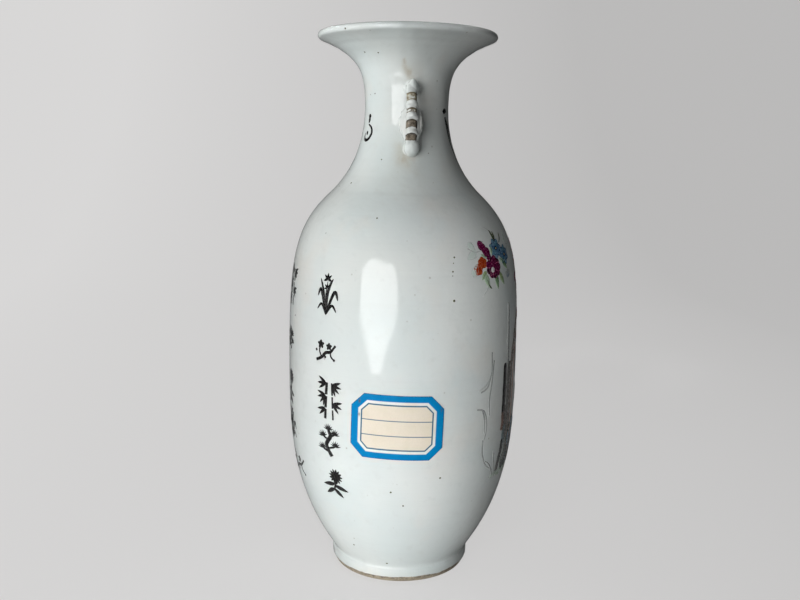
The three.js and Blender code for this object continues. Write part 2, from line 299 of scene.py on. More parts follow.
class Finish:
    """A material, with a short call for each kind of node that it is made from."""

    def __init__(self, name):
        self.material = bpy.data.materials.new(name)
        self.material.use_nodes = True
        self.tree = self.material.node_tree
        self.shader = self.tree.nodes["Principled BSDF"]

    def put(self, socket, value):
        """A link where the value is another node's socket, and else the value itself."""
        if isinstance(value, bpy.types.NodeSocket):
            self.tree.links.new(value, socket)
        elif isinstance(value, (int, float)):
            socket.default_value = value
        else:
            socket.default_value = (*value, 1.0) if len(socket.default_value) > len(value) else value

    def node(self, kind, values=None, **settings):
        """A node with its settings, and with values in sockets that are named or numbered."""
        node = self.tree.nodes.new("ShaderNode" + kind)
        for key, setting in settings.items():
            setattr(node, key, setting)
        for socket, value in (values or {}).items():
            self.put(node.inputs[socket], value)
        return node

    def place(self):
        return self.node("TexCoord").outputs["Object"]

    def part_of_place(self, axis):
        return self.node("SeparateXYZ", {0: self.place()}).outputs[axis]

    def noise(self, scale, detail=3.0, roughness=0.5, stretch=(1, 1, 1)):
        stretched = self.node("Mapping", {"Vector": self.place(), "Scale": stretch}).outputs[0]
        values = {"Vector": stretched, "Scale": scale, "Detail": detail, "Roughness": roughness}
        return self.node("TexNoise", values).outputs["Fac"]

    def attribute(self, name, output="Fac"):
        return self.node("Attribute", attribute_name=name).outputs[output]

    def ramp(self, source, stops):
        """A colour ramp from (place, colour) stops."""
        node = self.node("ValToRGB", {0: source})
        while len(node.color_ramp.elements) < len(stops):
            node.color_ramp.elements.new(0.5)
        for element, (place, colour) in zip(node.color_ramp.elements, stops):
            element.position = place
            element.color = (*colour, 1.0)
        return node.outputs["Color"]

    def mix(self, share, first, second, blend="MIX"):
        values = {0: share, 6: first, 7: second}
        return self.node("Mix", values, data_type="RGBA", blend_type=blend).outputs[2]

    def mix_numbers(self, share, first, second):
        return self.node("Mix", {0: share, 2: first, 3: second}, data_type="FLOAT").outputs[0]

    def maths(self, operation, first, second, clamp=False):
        return self.node("Math", {0: first, 1: second}, operation=operation, use_clamp=clamp).outputs[0]

    def remap(self, value, from_min, from_max, to_min=0.0, to_max=1.0):
        values = {0: value, 1: from_min, 2: from_max, 3: to_min, 4: to_max}
        return self.node("MapRange", values).outputs[0]

    def bump(self, *layers):
        """Bumps from (height, distance) layers, one on top of the other."""
        under = {}
        for height, distance in layers:
            bump = self.node("Bump", {"Height": height, "Distance": distance, **under})
            under = {"Normal": bump.outputs["Normal"]}
        self.put(self.shader.inputs["Normal"], under["Normal"])

    def done(self, colour, roughness, shine=GLAZE_SHINE):
        """The finished material."""
        self.put(self.shader.inputs["Base Color"], colour)
        self.put(self.shader.inputs["Roughness"], roughness)
        self.put(self.shader.inputs["Specular IOR Level"], shine)
        return self.material


# Finishes

GLAZE = (0.685, 0.715, 0.695)
GLAZE_POOLED = (0.62, 0.675, 0.665)
GLAZE_WARM = (0.69, 0.68, 0.64)
GLAZE_GREY = (0.56, 0.59, 0.57)
PINHOLE = (0.34, 0.33, 0.28)
GRIME = (0.46, 0.41, 0.32)
BISCUIT_PALE = (0.42, 0.36, 0.27)
BISCUIT_DARK = (0.13, 0.11, 0.085)
BISCUIT_ROUGHNESS = 0.85


def glaze_colour(finish):
    """Clear glaze over porcelain: bluer where it pooled, warmer where it is thin, and mottled."""
    clouds = finish.ramp(finish.noise(24, 2), [(0.35, GLAZE_POOLED), (0.62, GLAZE)])
    thin = finish.remap(finish.noise(38, 3), 0.56, 0.72, 0.0, 0.6)
    warmed = finish.mix(thin, clouds, GLAZE_WARM)
    mottling = finish.remap(finish.noise(210, 3, 0.6), 0.55, 0.75, 0.0, 0.35)
    wheel_marks = finish.remap(finish.noise(9, 4, 0.7, (1, 1, 60)), 0.5, 0.75, 0.0, 0.16)
    shaded = finish.mix(finish.maths("MAXIMUM", mottling, wheel_marks), warmed, GLAZE_GREY)
    return finish.mix(pinholes(finish), shaded, PINHOLE)


def pinholes(finish):
    """Faint dots, where the glaze has pits: in some cells only, and of uneven size."""
    cells = finish.node("TexVoronoi", {"Vector": finish.place(), "Scale": 170})
    near = finish.remap(cells.outputs["Distance"], 0.09, 0.03, 0.0, 0.7)
    chosen = finish.node("SeparateColor", {0: cells.outputs["Color"]}).outputs[0]
    return finish.maths("MULTIPLY", near, finish.maths("GREATER_THAN", chosen, 0.5))


def orange_peel(finish):
    return (finish.noise(300, 1), 0.08 * MM), (finish.noise(110, 1), 0.12 * MM)


def glaze_over_porcelain():
    """Glaze down to a wavy edge above the foot's rim, and soiled biscuit below it."""
    finish = Finish("glaze")
    uneven = finish.remap(finish.noise(260, 4, 0.6), 0.3, 0.7, 0.35, 1.0)
    grime = finish.maths("MULTIPLY", finish.attribute("grime"), uneven, clamp=True)
    colour = finish.mix(grime, glaze_colour(finish), GRIME)

    wavy = finish.remap(finish.noise(130, 4, 0.6), 0.3, 0.7, -0.45 * MM, 0.55 * MM)
    edge = finish.maths("SUBTRACT", finish.part_of_place("Z"), wavy)
    bare = finish.remap(edge, BISCUIT_HEIGHT + 0.08 * MM, BISCUIT_HEIGHT - 0.08 * MM)
    grain = finish.remap(finish.noise(600, 4, 0.75), 0.38, 0.62, 0.0, 1.0)
    soiled = finish.remap(edge, 0.7 * MM, 2.1 * MM, 0.25, 1.0)
    biscuit = finish.mix(finish.maths("MULTIPLY", soiled, grain), BISCUIT_PALE, BISCUIT_DARK)

    smooth = finish.remap(finish.noise(60, 2), 0.3, 0.7, 0.015, 0.04)
    rough = finish.mix_numbers(bare, smooth, BISCUIT_ROUGHNESS)
    grit = finish.maths("MULTIPLY", bare, finish.noise(1400, 3, 0.7))
    finish.bump(*orange_peel(finish), (grit, 0.25 * MM))
    return finish.done(finish.mix(bare, colour, biscuit), rough)


def overglaze_enamel():
    """Enamel fired on the glaze. Its alpha says how well it covers, and thin paint breaks up."""
    finish = Finish("overglaze_enamel")
    cover = finish.attribute("enamel", "Alpha")
    streaks = finish.noise(1300, 4, 0.65)
    uneven = finish.remap(streaks, 0.3, 0.7, -0.22, 0.22)
    thin = finish.maths("MULTIPLY", finish.maths("SUBTRACT", 1.0, cover), 2.4)
    cover = finish.maths("ADD", cover, finish.maths("MULTIPLY", uneven, thin), clamp=True)
    shades = finish.ramp(streaks, [(0.3, (0.75,) * 3), (0.7, (1.0,) * 3)])
    shaded = finish.mix(1.0, finish.attribute("enamel", "Color"), shades, "MULTIPLY")
    finish.bump((streaks, 0.02 * MM))
    rough = finish.remap(streaks, 0.3, 0.7, 0.18, 0.34)
    return finish.done(finish.mix(cover, GLAZE, shaded), rough)


GILT_BRIGHT = (0.47, 0.42, 0.30), (0.27, 0.225, 0.17)  # at the top and at the foot of an ear
# The dark gold, for painted shade in the grooves and for worn patches
GILT_DARK = (0.15, 0.115, 0.06), (0.035, 0.028, 0.018)


def gilt_glaze():
    """Glazed all over, with worn gold in the grooves: paler above, browner below, and darker in the
    grooves' painted shade.
    """
    finish = Finish("gilt_glaze")
    worn = finish.noise(700, 4, 0.7)
    low = finish.remap(finish.part_of_place("Z"), 203 * MM, 193 * MM)
    patches = finish.remap(worn, 0.42, 0.64, 0.0, 0.9)
    # The gold turns dark in its painted shade and in worn patches
    shadow = finish.maths("MAXIMUM", finish.attribute("groove_shade"), patches)
    gold = finish.mix(shadow, finish.mix(low, *GILT_BRIGHT), finish.mix(low, *GILT_DARK))
    colour = finish.mix(finish.attribute("grime"), glaze_colour(finish), GRIME)
    uneven = finish.remap(worn, 0.3, 0.7, -0.3, 0.3)
    cover = finish.remap(finish.maths("ADD", finish.attribute("gilt"), uneven), 0.38, 0.62)
    finish.bump(*orange_peel(finish))
    rough = finish.remap(cover, 0.0, 1.0, 0.07, 0.38)
    return finish.done(finish.mix(cover, colour, gold), rough)


BORDER_BLUE = (0.0, 0.19, 0.45)
BORDER_FADED = (0.0, 0.27, 0.56)
LABEL_WHITE = (0.72, 0.78, 0.76)
LABEL_CREAM = (0.75, 0.68, 0.565)
LABEL_AGED = (0.66, 0.60, 0.44)
FIBRE_SHADE = (0.56, 0.52, 0.44)
RULE_BLUE = (0.02, 0.11, 0.19)
# A dark line along the label's outline
EDGE_DARK = (0.02, 0.07, 0.12)
STAIN_BROWN = (0.10, 0.07, 0.03)


def paper_print():
    """Printed paper: blue where blue is 1, ruled lines where rule is 1, cream in the rows."""
    finish = Finish("label_paper")
    fibres = finish.noise(1500, 4, 0.6)
    colour = finish.mix(finish.attribute("row"), LABEL_WHITE, LABEL_CREAM)
    colour = finish.mix(finish.remap(finish.noise(170, 3), 0.4, 0.7, 0.0, 0.35), colour, LABEL_AGED)
    colour = finish.mix(finish.remap(fibres, 0.3, 0.7, 0.0, 0.2), colour, FIBRE_SHADE)
    colour = finish.mix(finish.attribute("rule"), colour, RULE_BLUE)
    faded = finish.remap(finish.noise(420, 4, 0.65), 0.45, 0.75, 0.0, 0.35)
    blue = finish.mix(faded, BORDER_BLUE, BORDER_FADED)
    colour = finish.mix(finish.attribute("blue"), colour, blue)
    # Darker within half a millimetre of the outline, broken up by the fibres
    darkened_edge = finish.maths("MULTIPLY", finish.attribute("edge"), finish.remap(fibres, 0.35, 0.6))
    colour = finish.mix(darkened_edge, colour, EDGE_DARK)
    finish.bump((fibres, 0.03 * MM))
    return finish.done(finish.mix(finish.attribute("stain"), colour, STAIN_BROWN), 0.62, PAPER_SHINE)


# The thrown body

STAIN_REACH = 25  # mm up and down from a stain's middle
# Brown soiling that has run over the glaze: from a turn and height to another, its spread in
# millimetres, and its strength
STAINS = [
    (-7.7, 217.6, -7.6, 216.9, 0.5, 0.9),
    (-7.6, 216.4, -7.2, 214.9, 0.9, 0.5),
    (-7.2, 214.9, -4.3, 213.2, 1.1, 0.55),
    (-4.3, 213.2, 0.0, 210.4, 1.4, 0.45),
    (6.0, 214.0, 9.0, 211.0, 3.4, 0.22),
    (-14.0, 184.0, -8.0, 179.0, 2.6, 0.34),
    (-10.0, 178.0, 6.0, 174.0, 3.2, 0.28),
    (-4.0, 182.0, 5.0, 181.0, 3.0, 0.25),
    (-16.0, 170.0, 10.0, 166.0, 6.0, 0.12),
    (172.0, 181.0, 186.0, 176.0, 3.5, 0.25),
    (176.0, 215.0, 181.0, 210.0, 1.4, 0.45),
]


def grime_at(point):
    """How soiled the glaze is at a point of the wall."""
    turn = math.degrees(math.atan2(-point.y, -point.x))
    radius = math.hypot(point.x, point.y)
    total = 0.0
    for turn_a, z_a, turn_b, z_b, spread, strength in STAINS:
        if abs(point.z / MM - (z_a + z_b) / 2) > STAIN_REACH:
            continue
        x_a, x_b = (math.radians((t - turn + 180) % 360 - 180) * radius / MM for t in (turn_a, turn_b))
        a, b = Vector((x_a, z_a - point.z / MM)), Vector((x_b, z_b - point.z / MM))
        along = min(max(-a.dot(b - a) / (b - a).length_squared, 0), 1)
        away = a.lerp(b, along).length / spread
        total += strength * math.exp(-away * away)
    return min(total, 1.0)


def foot_outline():
    """From the middle of the base round the ring to the top of its rounded edge."""
    stand_out = FOOT_RADIUS - BISCUIT_WIDTH
    stand_in = stand_out - FOOT_RING_WIDTH
    points = [Vector(place) for place in (
        (0, FOOT_RECESS_DEPTH),
        (stand_in - 2.2 * MM, FOOT_RECESS_DEPTH),
        (stand_in - 1.0 * MM, FOOT_RECESS_DEPTH - 0.7 * MM),
        (stand_in - 0.2 * MM, 0.4 * MM),
        (stand_in + 0.3 * MM, 0),
        (stand_out - 0.3 * MM, 0),
        (stand_out + 0.15 * MM, 0.25 * MM),
        (FOOT_RADIUS - 0.25 * MM, BISCUIT_HEIGHT - 0.3 * MM),
        (FOOT_RADIUS, BISCUIT_HEIGHT + 0.5 * MM),
    )]
    centre = Vector((FOOT_RADIUS - FOOT_EDGE_ROUND, FOOT_HEIGHT - FOOT_EDGE_ROUND))
    for i in range(4):
        angle = math.radians(12 * i)
        points.append(centre + FOOT_EDGE_ROUND * Vector((math.cos(angle), math.sin(angle))))
    return points


def filled_crease(edge, wall_points):
    """The wall's points, with the crease between them and the ring's edge filled by glaze."""
    rest = [p for p in wall_points if (p - wall_points[0]).length > CREASE_SOFTNESS]
    return rounded_corner(edge, wall_points[0], rest[0])[1:-1] + rest


def floor_outline(above):
    """From the wall's inner face down round the corner to the middle of the floor."""
    bend, end = Vector((above.x - 3 * MM, FLOOR_Z)), Vector((above.x - 13 * MM, FLOOR_Z))
    return rounded_corner(above, bend, end, 8)[1:] + [Vector((0, FLOOR_Z))]


def thrown_body(glaze):
    foot, inside = foot_outline(), inside_line()
    outside = filled_crease(foot[-1], wall_line)
    outline = foot + outside + lip_outline() + inside + floor_outline(inside[-1])
    bm = bmesh.new()
    vertices = [bm.verts.new((p.x, 0, p.y)) for p in outline]
    for a, b in zip(vertices, vertices[1:]):
        bm.edges.new((a, b))
    bmesh.ops.spin(
        bm,
        geom=bm.verts[:] + bm.edges[:],
        cent=(0, 0, 0),
        axis=(0, 0, 1),
        angle=math.tau,
        steps=TURN_STEPS,
        use_merge=True,
    )
    bmesh.ops.remove_doubles(bm, verts=bm.verts, dist=0.001 * MM)
    bmesh.ops.recalc_face_normals(bm, faces=bm.faces)
    grime = bm.verts.layers.float.new("grime")
    for vertex in bm.verts:
        vertex[grime] = grime_at(vertex.co)
    mesh = mesh_of(bm, "glazed_body")
    body = finish_piece(mesh, "glazed_body", glaze)
    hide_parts("lower_body", "belly_slip", "upper_body", "neck_slip", "neck_and_mouth")


# The ears, made on the +X side

EAR_TOP_Z = NECK_Z + 9.5 * MM
EAR_BEADS = [4.5, 3, 2.9, 2.4, 6.4]  # heights of the glazed beads in mm, from the top
EAR_GROOVES = [3.1, 1.6, 2.9, 2.9]
GROOVE_GILT = [0.55, 0.3, 1.0, 0.8]  # how well the gold covers the middle of each groove
BEAD_WIDTHS = [4.7, 5.3, 5.4, 5.2, 6.3]
BEAD_SHIFTS = [1.2, 0.1, 0.2, 0.2, 0.7]  # the mould was pressed a little askew
BEAD_SQUARENESS = [2.0, 2.6, 2.6, 2.6, 2.0]  # 2 is an oval, more is a drum
BEAD_TAPERS = [0.0, 0.05, 0.0, 0.0, 0.2]  # how much wider each is at its top
BEAD_RISE = 1.1 * MM
EAR_REACH = 14.4 * MM
EAR_OUT = NECK_RADIUS + EAR_REACH - BEAD_RISE
EAR_BOW = 6.4 * MM
EAR_THICKNESS = 4.1 * MM
EAR_UNEVEN = 0.14 * MM
EAR_DROOP = 0.7 * MM
EAR_BAND_DEPTH = 4 * MM
ROOT_SIZE = 4.1 * MM
BOSS_HALF = Vector((5.2, 4.5, 6.7)) * MM
BOSS_DROP = 2.4 * MM
BOSS_GAP = 1.8 * MM
SCROLL_RIDGE = 0.62 * MM
VOXEL = 0.25 * MM
EAR_GRIME = 0.25  # at the foot of the ear, next to the neck

BULB_TOP_Z = EAR_TOP_Z - (sum(EAR_BEADS[:-1]) + sum(EAR_GROOVES)) * MM
ear_bottom_z = EAR_TOP_Z - (sum(EAR_BEADS) + sum(EAR_GROOVES)) * MM
top_root_z = EAR_TOP_Z - ROOT_SIZE / 2
bottom_root_z = ear_bottom_z + EAR_BEADS[-1] / 2 * MM
band_middle_z = (top_root_z + bottom_root_z) / 2
half_chord = (top_root_z - bottom_root_z) / 2
band_radius = (half_chord**2 + EAR_BOW**2) / (2 * EAR_BOW)
band_centre = Vector((EAR_OUT - band_radius - EAR_BAND_DEPTH / 2, 0, band_middle_z))
half_angle = math.asin(half_chord / band_radius)
boss_centre = Vector((NECK_RADIUS + BOSS_GAP + BOSS_HALF.x, 0, band_middle_z - BOSS_DROP))


def bead_middles():
    """The height of each bead's middle, from the top down."""
    z = EAR_TOP_Z / MM
    middles = []
    for height, gap in zip(EAR_BEADS, EAR_GROOVES + [0]):
        middles.append((z - height / 2) * MM)
        z -= height + gap
    return middles


BEAD_MIDDLES = bead_middles()


def on_band(angle, out=0.0):
    """A place on the band's middle line, or out from it."""
    reach = band_radius + out
    return band_centre + Vector((reach * math.cos(angle), 0, reach * math.sin(angle)))


def place_ball(bm, centre, sizes, turn=0.0, squareness=2.0, taper=0.0, segments=24):
    """An oval, or with more squareness a rounded drum that stands along Z."""
    ball = bmesh.new()
    bmesh.ops.create_uvsphere(ball, u_segments=segments, v_segments=segments * 2 // 3, radius=1)
    matrix = Matrix.Translation(centre) @ Matrix.Rotation(turn, 4, "Y") @ Matrix.Diagonal((*sizes, 1))
    power = 2 / squareness
    for vertex in ball.verts:
        x, y, z = vertex.co
        flat = math.hypot(x, y)
        grown = flat**power / flat if flat > 1e-6 else 1.0
        z = math.copysign(abs(z) ** power, z)
        grown *= 1 + taper * z
        vertex.co = matrix @ Vector((x * grown, y * grown, z))
    join_into(bm, ball)


def band(bm):
    """The bowed band: a rounded section, spun round the middle of the bow."""
    section = bmesh.ops.create_circle(bm, cap_ends=True, segments=28, radius=1)["verts"]
    for vertex in section:
        x, y = (math.copysign(abs(v) ** 0.55, v) for v in vertex.co.xy)
        vertex.co = Vector((x * EAR_BAND_DEPTH / 2, y * EAR_THICKNESS / 2, 0))
    start = Matrix.Translation(on_band(-half_angle)) @ Matrix.Rotation(half_angle, 4, "Y")
    bmesh.ops.transform(bm, matrix=start, verts=section)
    faces = list({face for vertex in section for face in vertex.link_faces})
    edges = list({edge for vertex in section for edge in vertex.link_edges})
    bmesh.ops.spin(
        bm,
        geom=section + edges + faces,
        cent=band_centre,
        axis=(0, -1, 0),
        angle=2 * half_angle,
        steps=40,
    )


def scroll_relief(bm):
    """A raised spiral on both faces of the boss."""
    turns, steps = 1.9, 70
    for i in range(steps + 1):
        share = i / steps
        angle = math.tau * turns * share - 0.6
        reach = 0.12 + 0.74 * share
        x, z = reach * math.cos(angle), reach * math.sin(angle)
        rise = math.sqrt(1 - reach * reach)
        for face in (1, -1):
            offset = Vector((x * BOSS_HALF.x, face * rise * BOSS_HALF.y, z * BOSS_HALF.z))
            place_ball(bm, boss_centre + offset, (SCROLL_RIDGE,) * 3, segments=9)


def root(bm, z):
    """An arm from the neck out to the band, with slip smoothed out round it on the neck."""
    i, share = wall.span(wall.heights, z)
    neck = wall.line[i - 1].lerp(wall.line[i], share)
    way = (wall.line[i] - wall.line[i - 1]).normalized()
    end = on_band(math.copysign(half_angle, z - band_middle_z)).x
    for j in range(15):
        x = neck.x - 1 * MM + (end - neck.x + 1 * MM) * j / 14
        place_ball(bm, (x, 0, z), (1.2 * MM, ROOT_SIZE / 2, ROOT_SIZE / 2))
    lean = math.atan2(way.x, way.y)
    half = ROOT_SIZE / 2 + 1.1 * MM
    place_ball(bm, (neck.x, 0, z), (1.0 * MM, half, half), lean)
    place_ball(bm, (neck.x + 0.5 * MM, 0, z), (1.3 * MM, half - 0.6 * MM, half - 0.6 * MM), lean)


def one_skin(bm, name):
    """The overlapping solids as one smooth skin."""
    rough = show("rough_shape", mesh_of(bm, name))
    remesh = rough.modifiers.new("one_skin", "REMESH")
    remesh.mode = "VOXEL"
    remesh.voxel_size = VOXEL
    soften = rough.modifiers.new("soften", "SMOOTH")
    soften.iterations = 5
    made = bpy.data.meshes.new_from_object(rough.evaluated_get(bpy.context.evaluated_depsgraph_get()))
    bpy.data.objects.remove(rough)
    return made


def on_band_face(place):
    """1 on the band's outer side, and 0 on its inner side and on what lies within it."""
    offset = place - band_centre
    outwards = math.hypot(offset.x, offset.z) - band_radius
    return smooth_share(outwards, -EAR_BAND_DEPTH / 2 + 0.9 * MM, -EAR_BAND_DEPTH / 2 + 1.5 * MM)


def hand_pressed(place, normal):
    """The place moved as hands leave it: uneven, and with beads that droop at their sides."""
    uneven = noise.noise(place / (2.4 * MM)) + 0.5 * noise.noise(place / (1.1 * MM))
    side = min((place.y / (EAR_THICKNESS / 2)) ** 2, 1.5)
    droop = EAR_DROOP * side * on_band_face(place) * smooth_share(place.z, BULB_TOP_Z, BULB_TOP_Z + MM)
    return place + normal * (uneven * EAR_UNEVEN - 0.05 * MM) - Vector((0, 0, droop))


def gilding_at(place):
    """(gilt, groove shade) at a place: gold lies between the beads, on the band only. The groove shade is
    painted shade under the bead above and along the band's +Y side, with a dark line at the groove's foot.
    """
    thin = 1 - smooth_share(abs(place.y), EAR_THICKNESS / 2 + 0.05 * MM, EAR_THICKNESS / 2 + 0.45 * MM)
    on_face = thin * on_band_face(place)
    for i, cover in enumerate(GROOVE_GILT):
        top = BEAD_MIDDLES[i] - EAR_BEADS[i] / 2 * MM
        bottom = BEAD_MIDDLES[i + 1] + EAR_BEADS[i + 1] / 2 * MM
        inside = min(top - place.z, place.z - bottom)
        if inside > -0.3 * MM:
            between = smooth_share(inside, -0.2 * MM, 0.15 * MM)
            # Painted shade under the bead above and along the band's +Y side, which the left ear turns away
            # from the window; a dark line at the groove's foot
            under = 1 - smooth_share(top - place.z, 0.2 * MM, 1.0 * MM)
            low = 0.6 * (1 - smooth_share(place.z - bottom, 0.1 * MM, 0.6 * MM))
            side = smooth_share(place.y, EAR_THICKNESS / 2 - 1.3 * MM, EAR_THICKNESS / 2)
            edge = max(under, low, side)
            return on_face * between * (cover + (1 - cover) * edge), edge
    return 0.0, 0.0


def ear(side, material):
    """A beaded band bowed out from the neck, with an oval scroll inside it."""
    bm = bmesh.new()
    band(bm)
    beads = zip(BEAD_MIDDLES, EAR_BEADS, BEAD_WIDTHS, BEAD_SHIFTS, BEAD_SQUARENESS, BEAD_TAPERS)
    for middle, height, width, shift, squareness, taper in beads:
        lift = (middle - band_middle_z) / band_radius
        angle = math.asin(min(max(lift, -1), 1))
        sizes = (EAR_BAND_DEPTH / 2 + BEAD_RISE, width / 2 * MM, height / 2 * MM / math.cos(angle))
        place_ball(bm, on_band(angle) + Vector((0, shift * MM, 0)), sizes, -angle, squareness, taper)
    root(bm, top_root_z)
    root(bm, bottom_root_z)
    place_ball(bm, boss_centre, BOSS_HALF, squareness=2.3, segments=36)
    scroll_relief(bm)
    made = one_skin(bm, f"moulded_ear_{side}")
    gilding, grime, places = [], [], []
    for vertex in made.vertices:
        gilding.append(gilding_at(vertex.co))
        low = 1 - smooth_share(vertex.co.z, ear_bottom_z, ear_bottom_z + 10 * MM)
        grime.append(EAR_GRIME * low * (1 - smooth_share(vertex.co.x, 20 * MM, 26 * MM)))
        places.extend(hand_pressed(vertex.co, vertex.normal))
    gilt, groove_shade = zip(*gilding)
    # The gilt, the painted shade of the grooves, and the grime at the ear's foot
    for name, values in (("gilt", gilt), ("groove_shade", groove_shade), ("grime", grime)):
        made.attributes.new(name, "FLOAT", "POINT").data.foreach_set("value", values)
    made.vertices.foreach_set("co", places)
    made.update()
    if side == "left":
        made.transform(Matrix.Rotation(math.pi, 4, "Z"))
    piece = finish_piece(made, f"moulded_ear_{side}", material)
    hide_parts(f"ear_{side}", f"ear_{side}_upper_slip", f"ear_{side}_lower_slip")


# The painting. A colour is red, green, blue, and how well it covers

INK = (0.006, 0.005, 0.005, 1.0)
INK_THIN = (0.03, 0.028, 0.022, 0.8)
GREY_LINE = (0.13, 0.14, 0.13, 0.75)
GREY_WASH = (0.33, 0.36, 0.35, 0.35)
ROSE_DARK = (0.045, 0.003, 0.02, 1.0)
ROSE_DEEP = (0.13, 0.008, 0.055, 1.0)
ROSE = (0.42, 0.06, 0.17, 0.95)
ROSE_PALE = (0.72, 0.42, 0.48, 0.85)
WHITE = (0.72, 0.72, 0.70, 1.0)
IRON_RED = (0.30, 0.035, 0.01, 1.0)
ORANGE = (0.50, 0.10, 0.025, 1.0)
ORANGE_DEEP = (0.40, 0.05, 0.012, 1.0)
BLUE_DEEP = (0.02, 0.05, 0.14, 1.0)
BLUE = (0.05, 0.15, 0.31, 1.0)
BLUE_PALE = (0.17, 0.34, 0.48, 0.95)
TURQUOISE = (0.08, 0.30, 0.36, 1.0)
GREEN_DARK = (0.03, 0.06, 0.025, 1.0)
GREEN = (0.07, 0.20, 0.06, 1.0)
GREEN_PALE = (0.30, 0.48, 0.26, 0.75)
YELLOW_GREEN = (0.26, 0.36, 0.08, 0.9)
MINT = (0.42, 0.60, 0.50, 0.35)
OLIVE = (0.09, 0.095, 0.04, 1.0)
YELLOW = (0.70, 0.52, 0.12, 1.0)
BARK_DARK = (0.07, 0.05, 0.04, 1.0)
BARK = (0.20, 0.165, 0.14, 0.95)
BARK_SHADE = (0.10, 0.09, 0.08, 0.9)
RUST = (0.17, 0.09, 0.065, 0.95)
SLATE = (0.12, 0.17, 0.18, 0.95)
TERRACOTTA = (0.40, 0.19, 0.12, 0.9)

WASH = 0.05  # thicknesses in mm over the glaze
FILL = 0.09
LINE = 0.14
RAISED = 0.2
SUNK = 0.02  # how far the edge of a stroke lies in the glaze
ENAMEL_DEPTH = 0.07


def mixed(first, last, share):
    return [a + (b - a) * share for a, b in zip(first, last)]


def along_points(points, share):
    """Place and way on the smooth line through points."""
    spans = len(points) - 1
    at = min(max(share, 0), 1) * spans
    i = min(int(at), spans - 1)
    t = at - i
    p0 = Vector(points[max(i - 1, 0)])
    p1, p2 = Vector(points[i]), Vector(points[i + 1])
    p3 = Vector(points[min(i + 2, spans)])
    m1, m2 = (p2 - p0) / 2, (p3 - p1) / 2
    here = (
        p1 * (2 * t**3 - 3 * t**2 + 1) + m1 * (t**3 - 2 * t**2 + t)
        + p2 * (-2 * t**3 + 3 * t**2) + m2 * (t**3 - t**2)
    )
    way = (
        p1 * (6 * t**2 - 6 * t) + m1 * (3 * t**2 - 4 * t + 1)
        + p2 * (-6 * t**2 + 6 * t) + m2 * (3 * t**2 - 2 * t)
    )
    return here, way.normalized() if way.length > 1e-9 else Vector((1, 0))


def at_angle(centre, angle, reach):
    """The point at an angle in degrees and a reach from a centre."""
    way = math.radians(angle)
    return centre[0] + reach * math.cos(way), centre[1] + reach * math.sin(way)


class Paint:
    """The enamel of one motif, gathered in one mesh. Lengths are mm, right and up of an anchor."""

    def __init__(self, name):
        self.name = name
        self.bm = bmesh.new()
        self.bm.verts.layers.float_color.new("enamel")

    def move(self, turn, z):
        """Puts the anchor at a turn and a height in mm."""
        self.turn, self.z = turn, z * MM

    def spot(self, x, y, lift):
        return wall.spot(self.turn, self.z, x * MM, y * MM, lift * MM)

    def sheet(self, columns, rows, place, first, last, thickness):
        """A lens of enamel on the wall, whose outline place gives from shares of it."""
        part = bmesh.new()
        enamel = part.verts.layers.float_color.new("enamel")
        bmesh.ops.create_grid(part, x_segments=columns, y_segments=rows, size=1)
        for vertex in part.verts:
            along, across = (vertex.co.x + 1) / 2, vertex.co.y
            x, y = place(along, across)
            vertex.co = self.spot(x, y, thickness * (1 - across * across) - SUNK)
            vertex[enamel] = mixed(first, last or first, along)
        join_into(self.bm, part)

    def stroke(self, points, width, first, last=None, ends=(0.5, 0.1), thickness=LINE, swell=0.7):
        """A brush line through points; ends are its widths there as shares of the width."""
        def place(along, across):
            here, way = along_points(points, along)
            bulge = math.sin(math.pi * min(max(along, 0), 1)) ** swell
            edge = ends[0] * (1 - along) + ends[1] * along
            half = width / 2 * (edge + (1 - edge) * bulge) * across
            return here.x - way.y * half, here.y + way.x * half

        self.sheet(6 * (len(points) - 1) + 2, 2, place, first, last, thickness)

    def petal(self, centre, angle, length, width, first, last=None, blunt=0.6, edge=None):
        """A petal or leaf from a centre outwards at an angle in degrees, and its drawn edge."""
        way = Vector(at_angle((0, 0), angle, 1))
        side = Vector((-way.y, way.x))

        def place(along, across):
            inner = min(max(along, 0), 1)
            half = width / 2 * max(math.sin(math.pi * inner**blunt), 0) ** 0.75 * across
            return Vector(centre) + way * (length * along) + side * half

        self.sheet(8, 4, place, first, last, FILL)
        if edge:
            for sign in (1, -1):
                points = [place(i / 6, sign * 0.95) for i in range(7)]
                self.stroke(points, 0.07 * width + 0.12, edge, ends=(0.6, 0.6))

    def ring(self, centre, count, start, *petal, **more):
        """Petals all round a centre, the first one at the start angle."""
        for i in range(count):
            self.petal(centre, 360 * i / count + start, *petal, **more)

    def leaf(self, centre, angle, length, width, first, last=None, vein=None):
        self.petal(centre, angle, length, width, first, last, blunt=0.75)
        if vein:
            tip = at_angle(centre, angle, length * 0.9)
            self.stroke([centre, tip], 0.05 * width + 0.15, vein)

    def dot(self, centre, radius, colour, thickness=LINE, stretch=1.0):
        part = bmesh.new()
        enamel = part.verts.layers.float_color.new("enamel")
        round_steps = 10 if radius < 1 else 22
        bmesh.ops.create_uvsphere(part, u_segments=round_steps, v_segments=6, radius=1)
        for vertex in part.verts:
            x, y, height = vertex.co
            x, y = centre[0] + x * radius, centre[1] + y * radius * stretch
            vertex.co = self.spot(x, y, height * thickness)
            vertex[enamel] = colour
        join_into(self.bm, part)

    def done(self, material):
        bmesh.ops.dissolve_degenerate(self.bm, dist=0.0005 * MM, edges=self.bm.edges[:])
        mesh = mesh_of(self.bm, self.name)
        piece = finish_piece(mesh, self.name, material)
        thicken(piece, "enamel_depth", ENAMEL_DEPTH * MM)


# Small plants in ink. Their points are shares of a box's width and height, from its middle

def in_box(box, *points):
    return [(x * box[0], y * box[1]) for x, y in points]


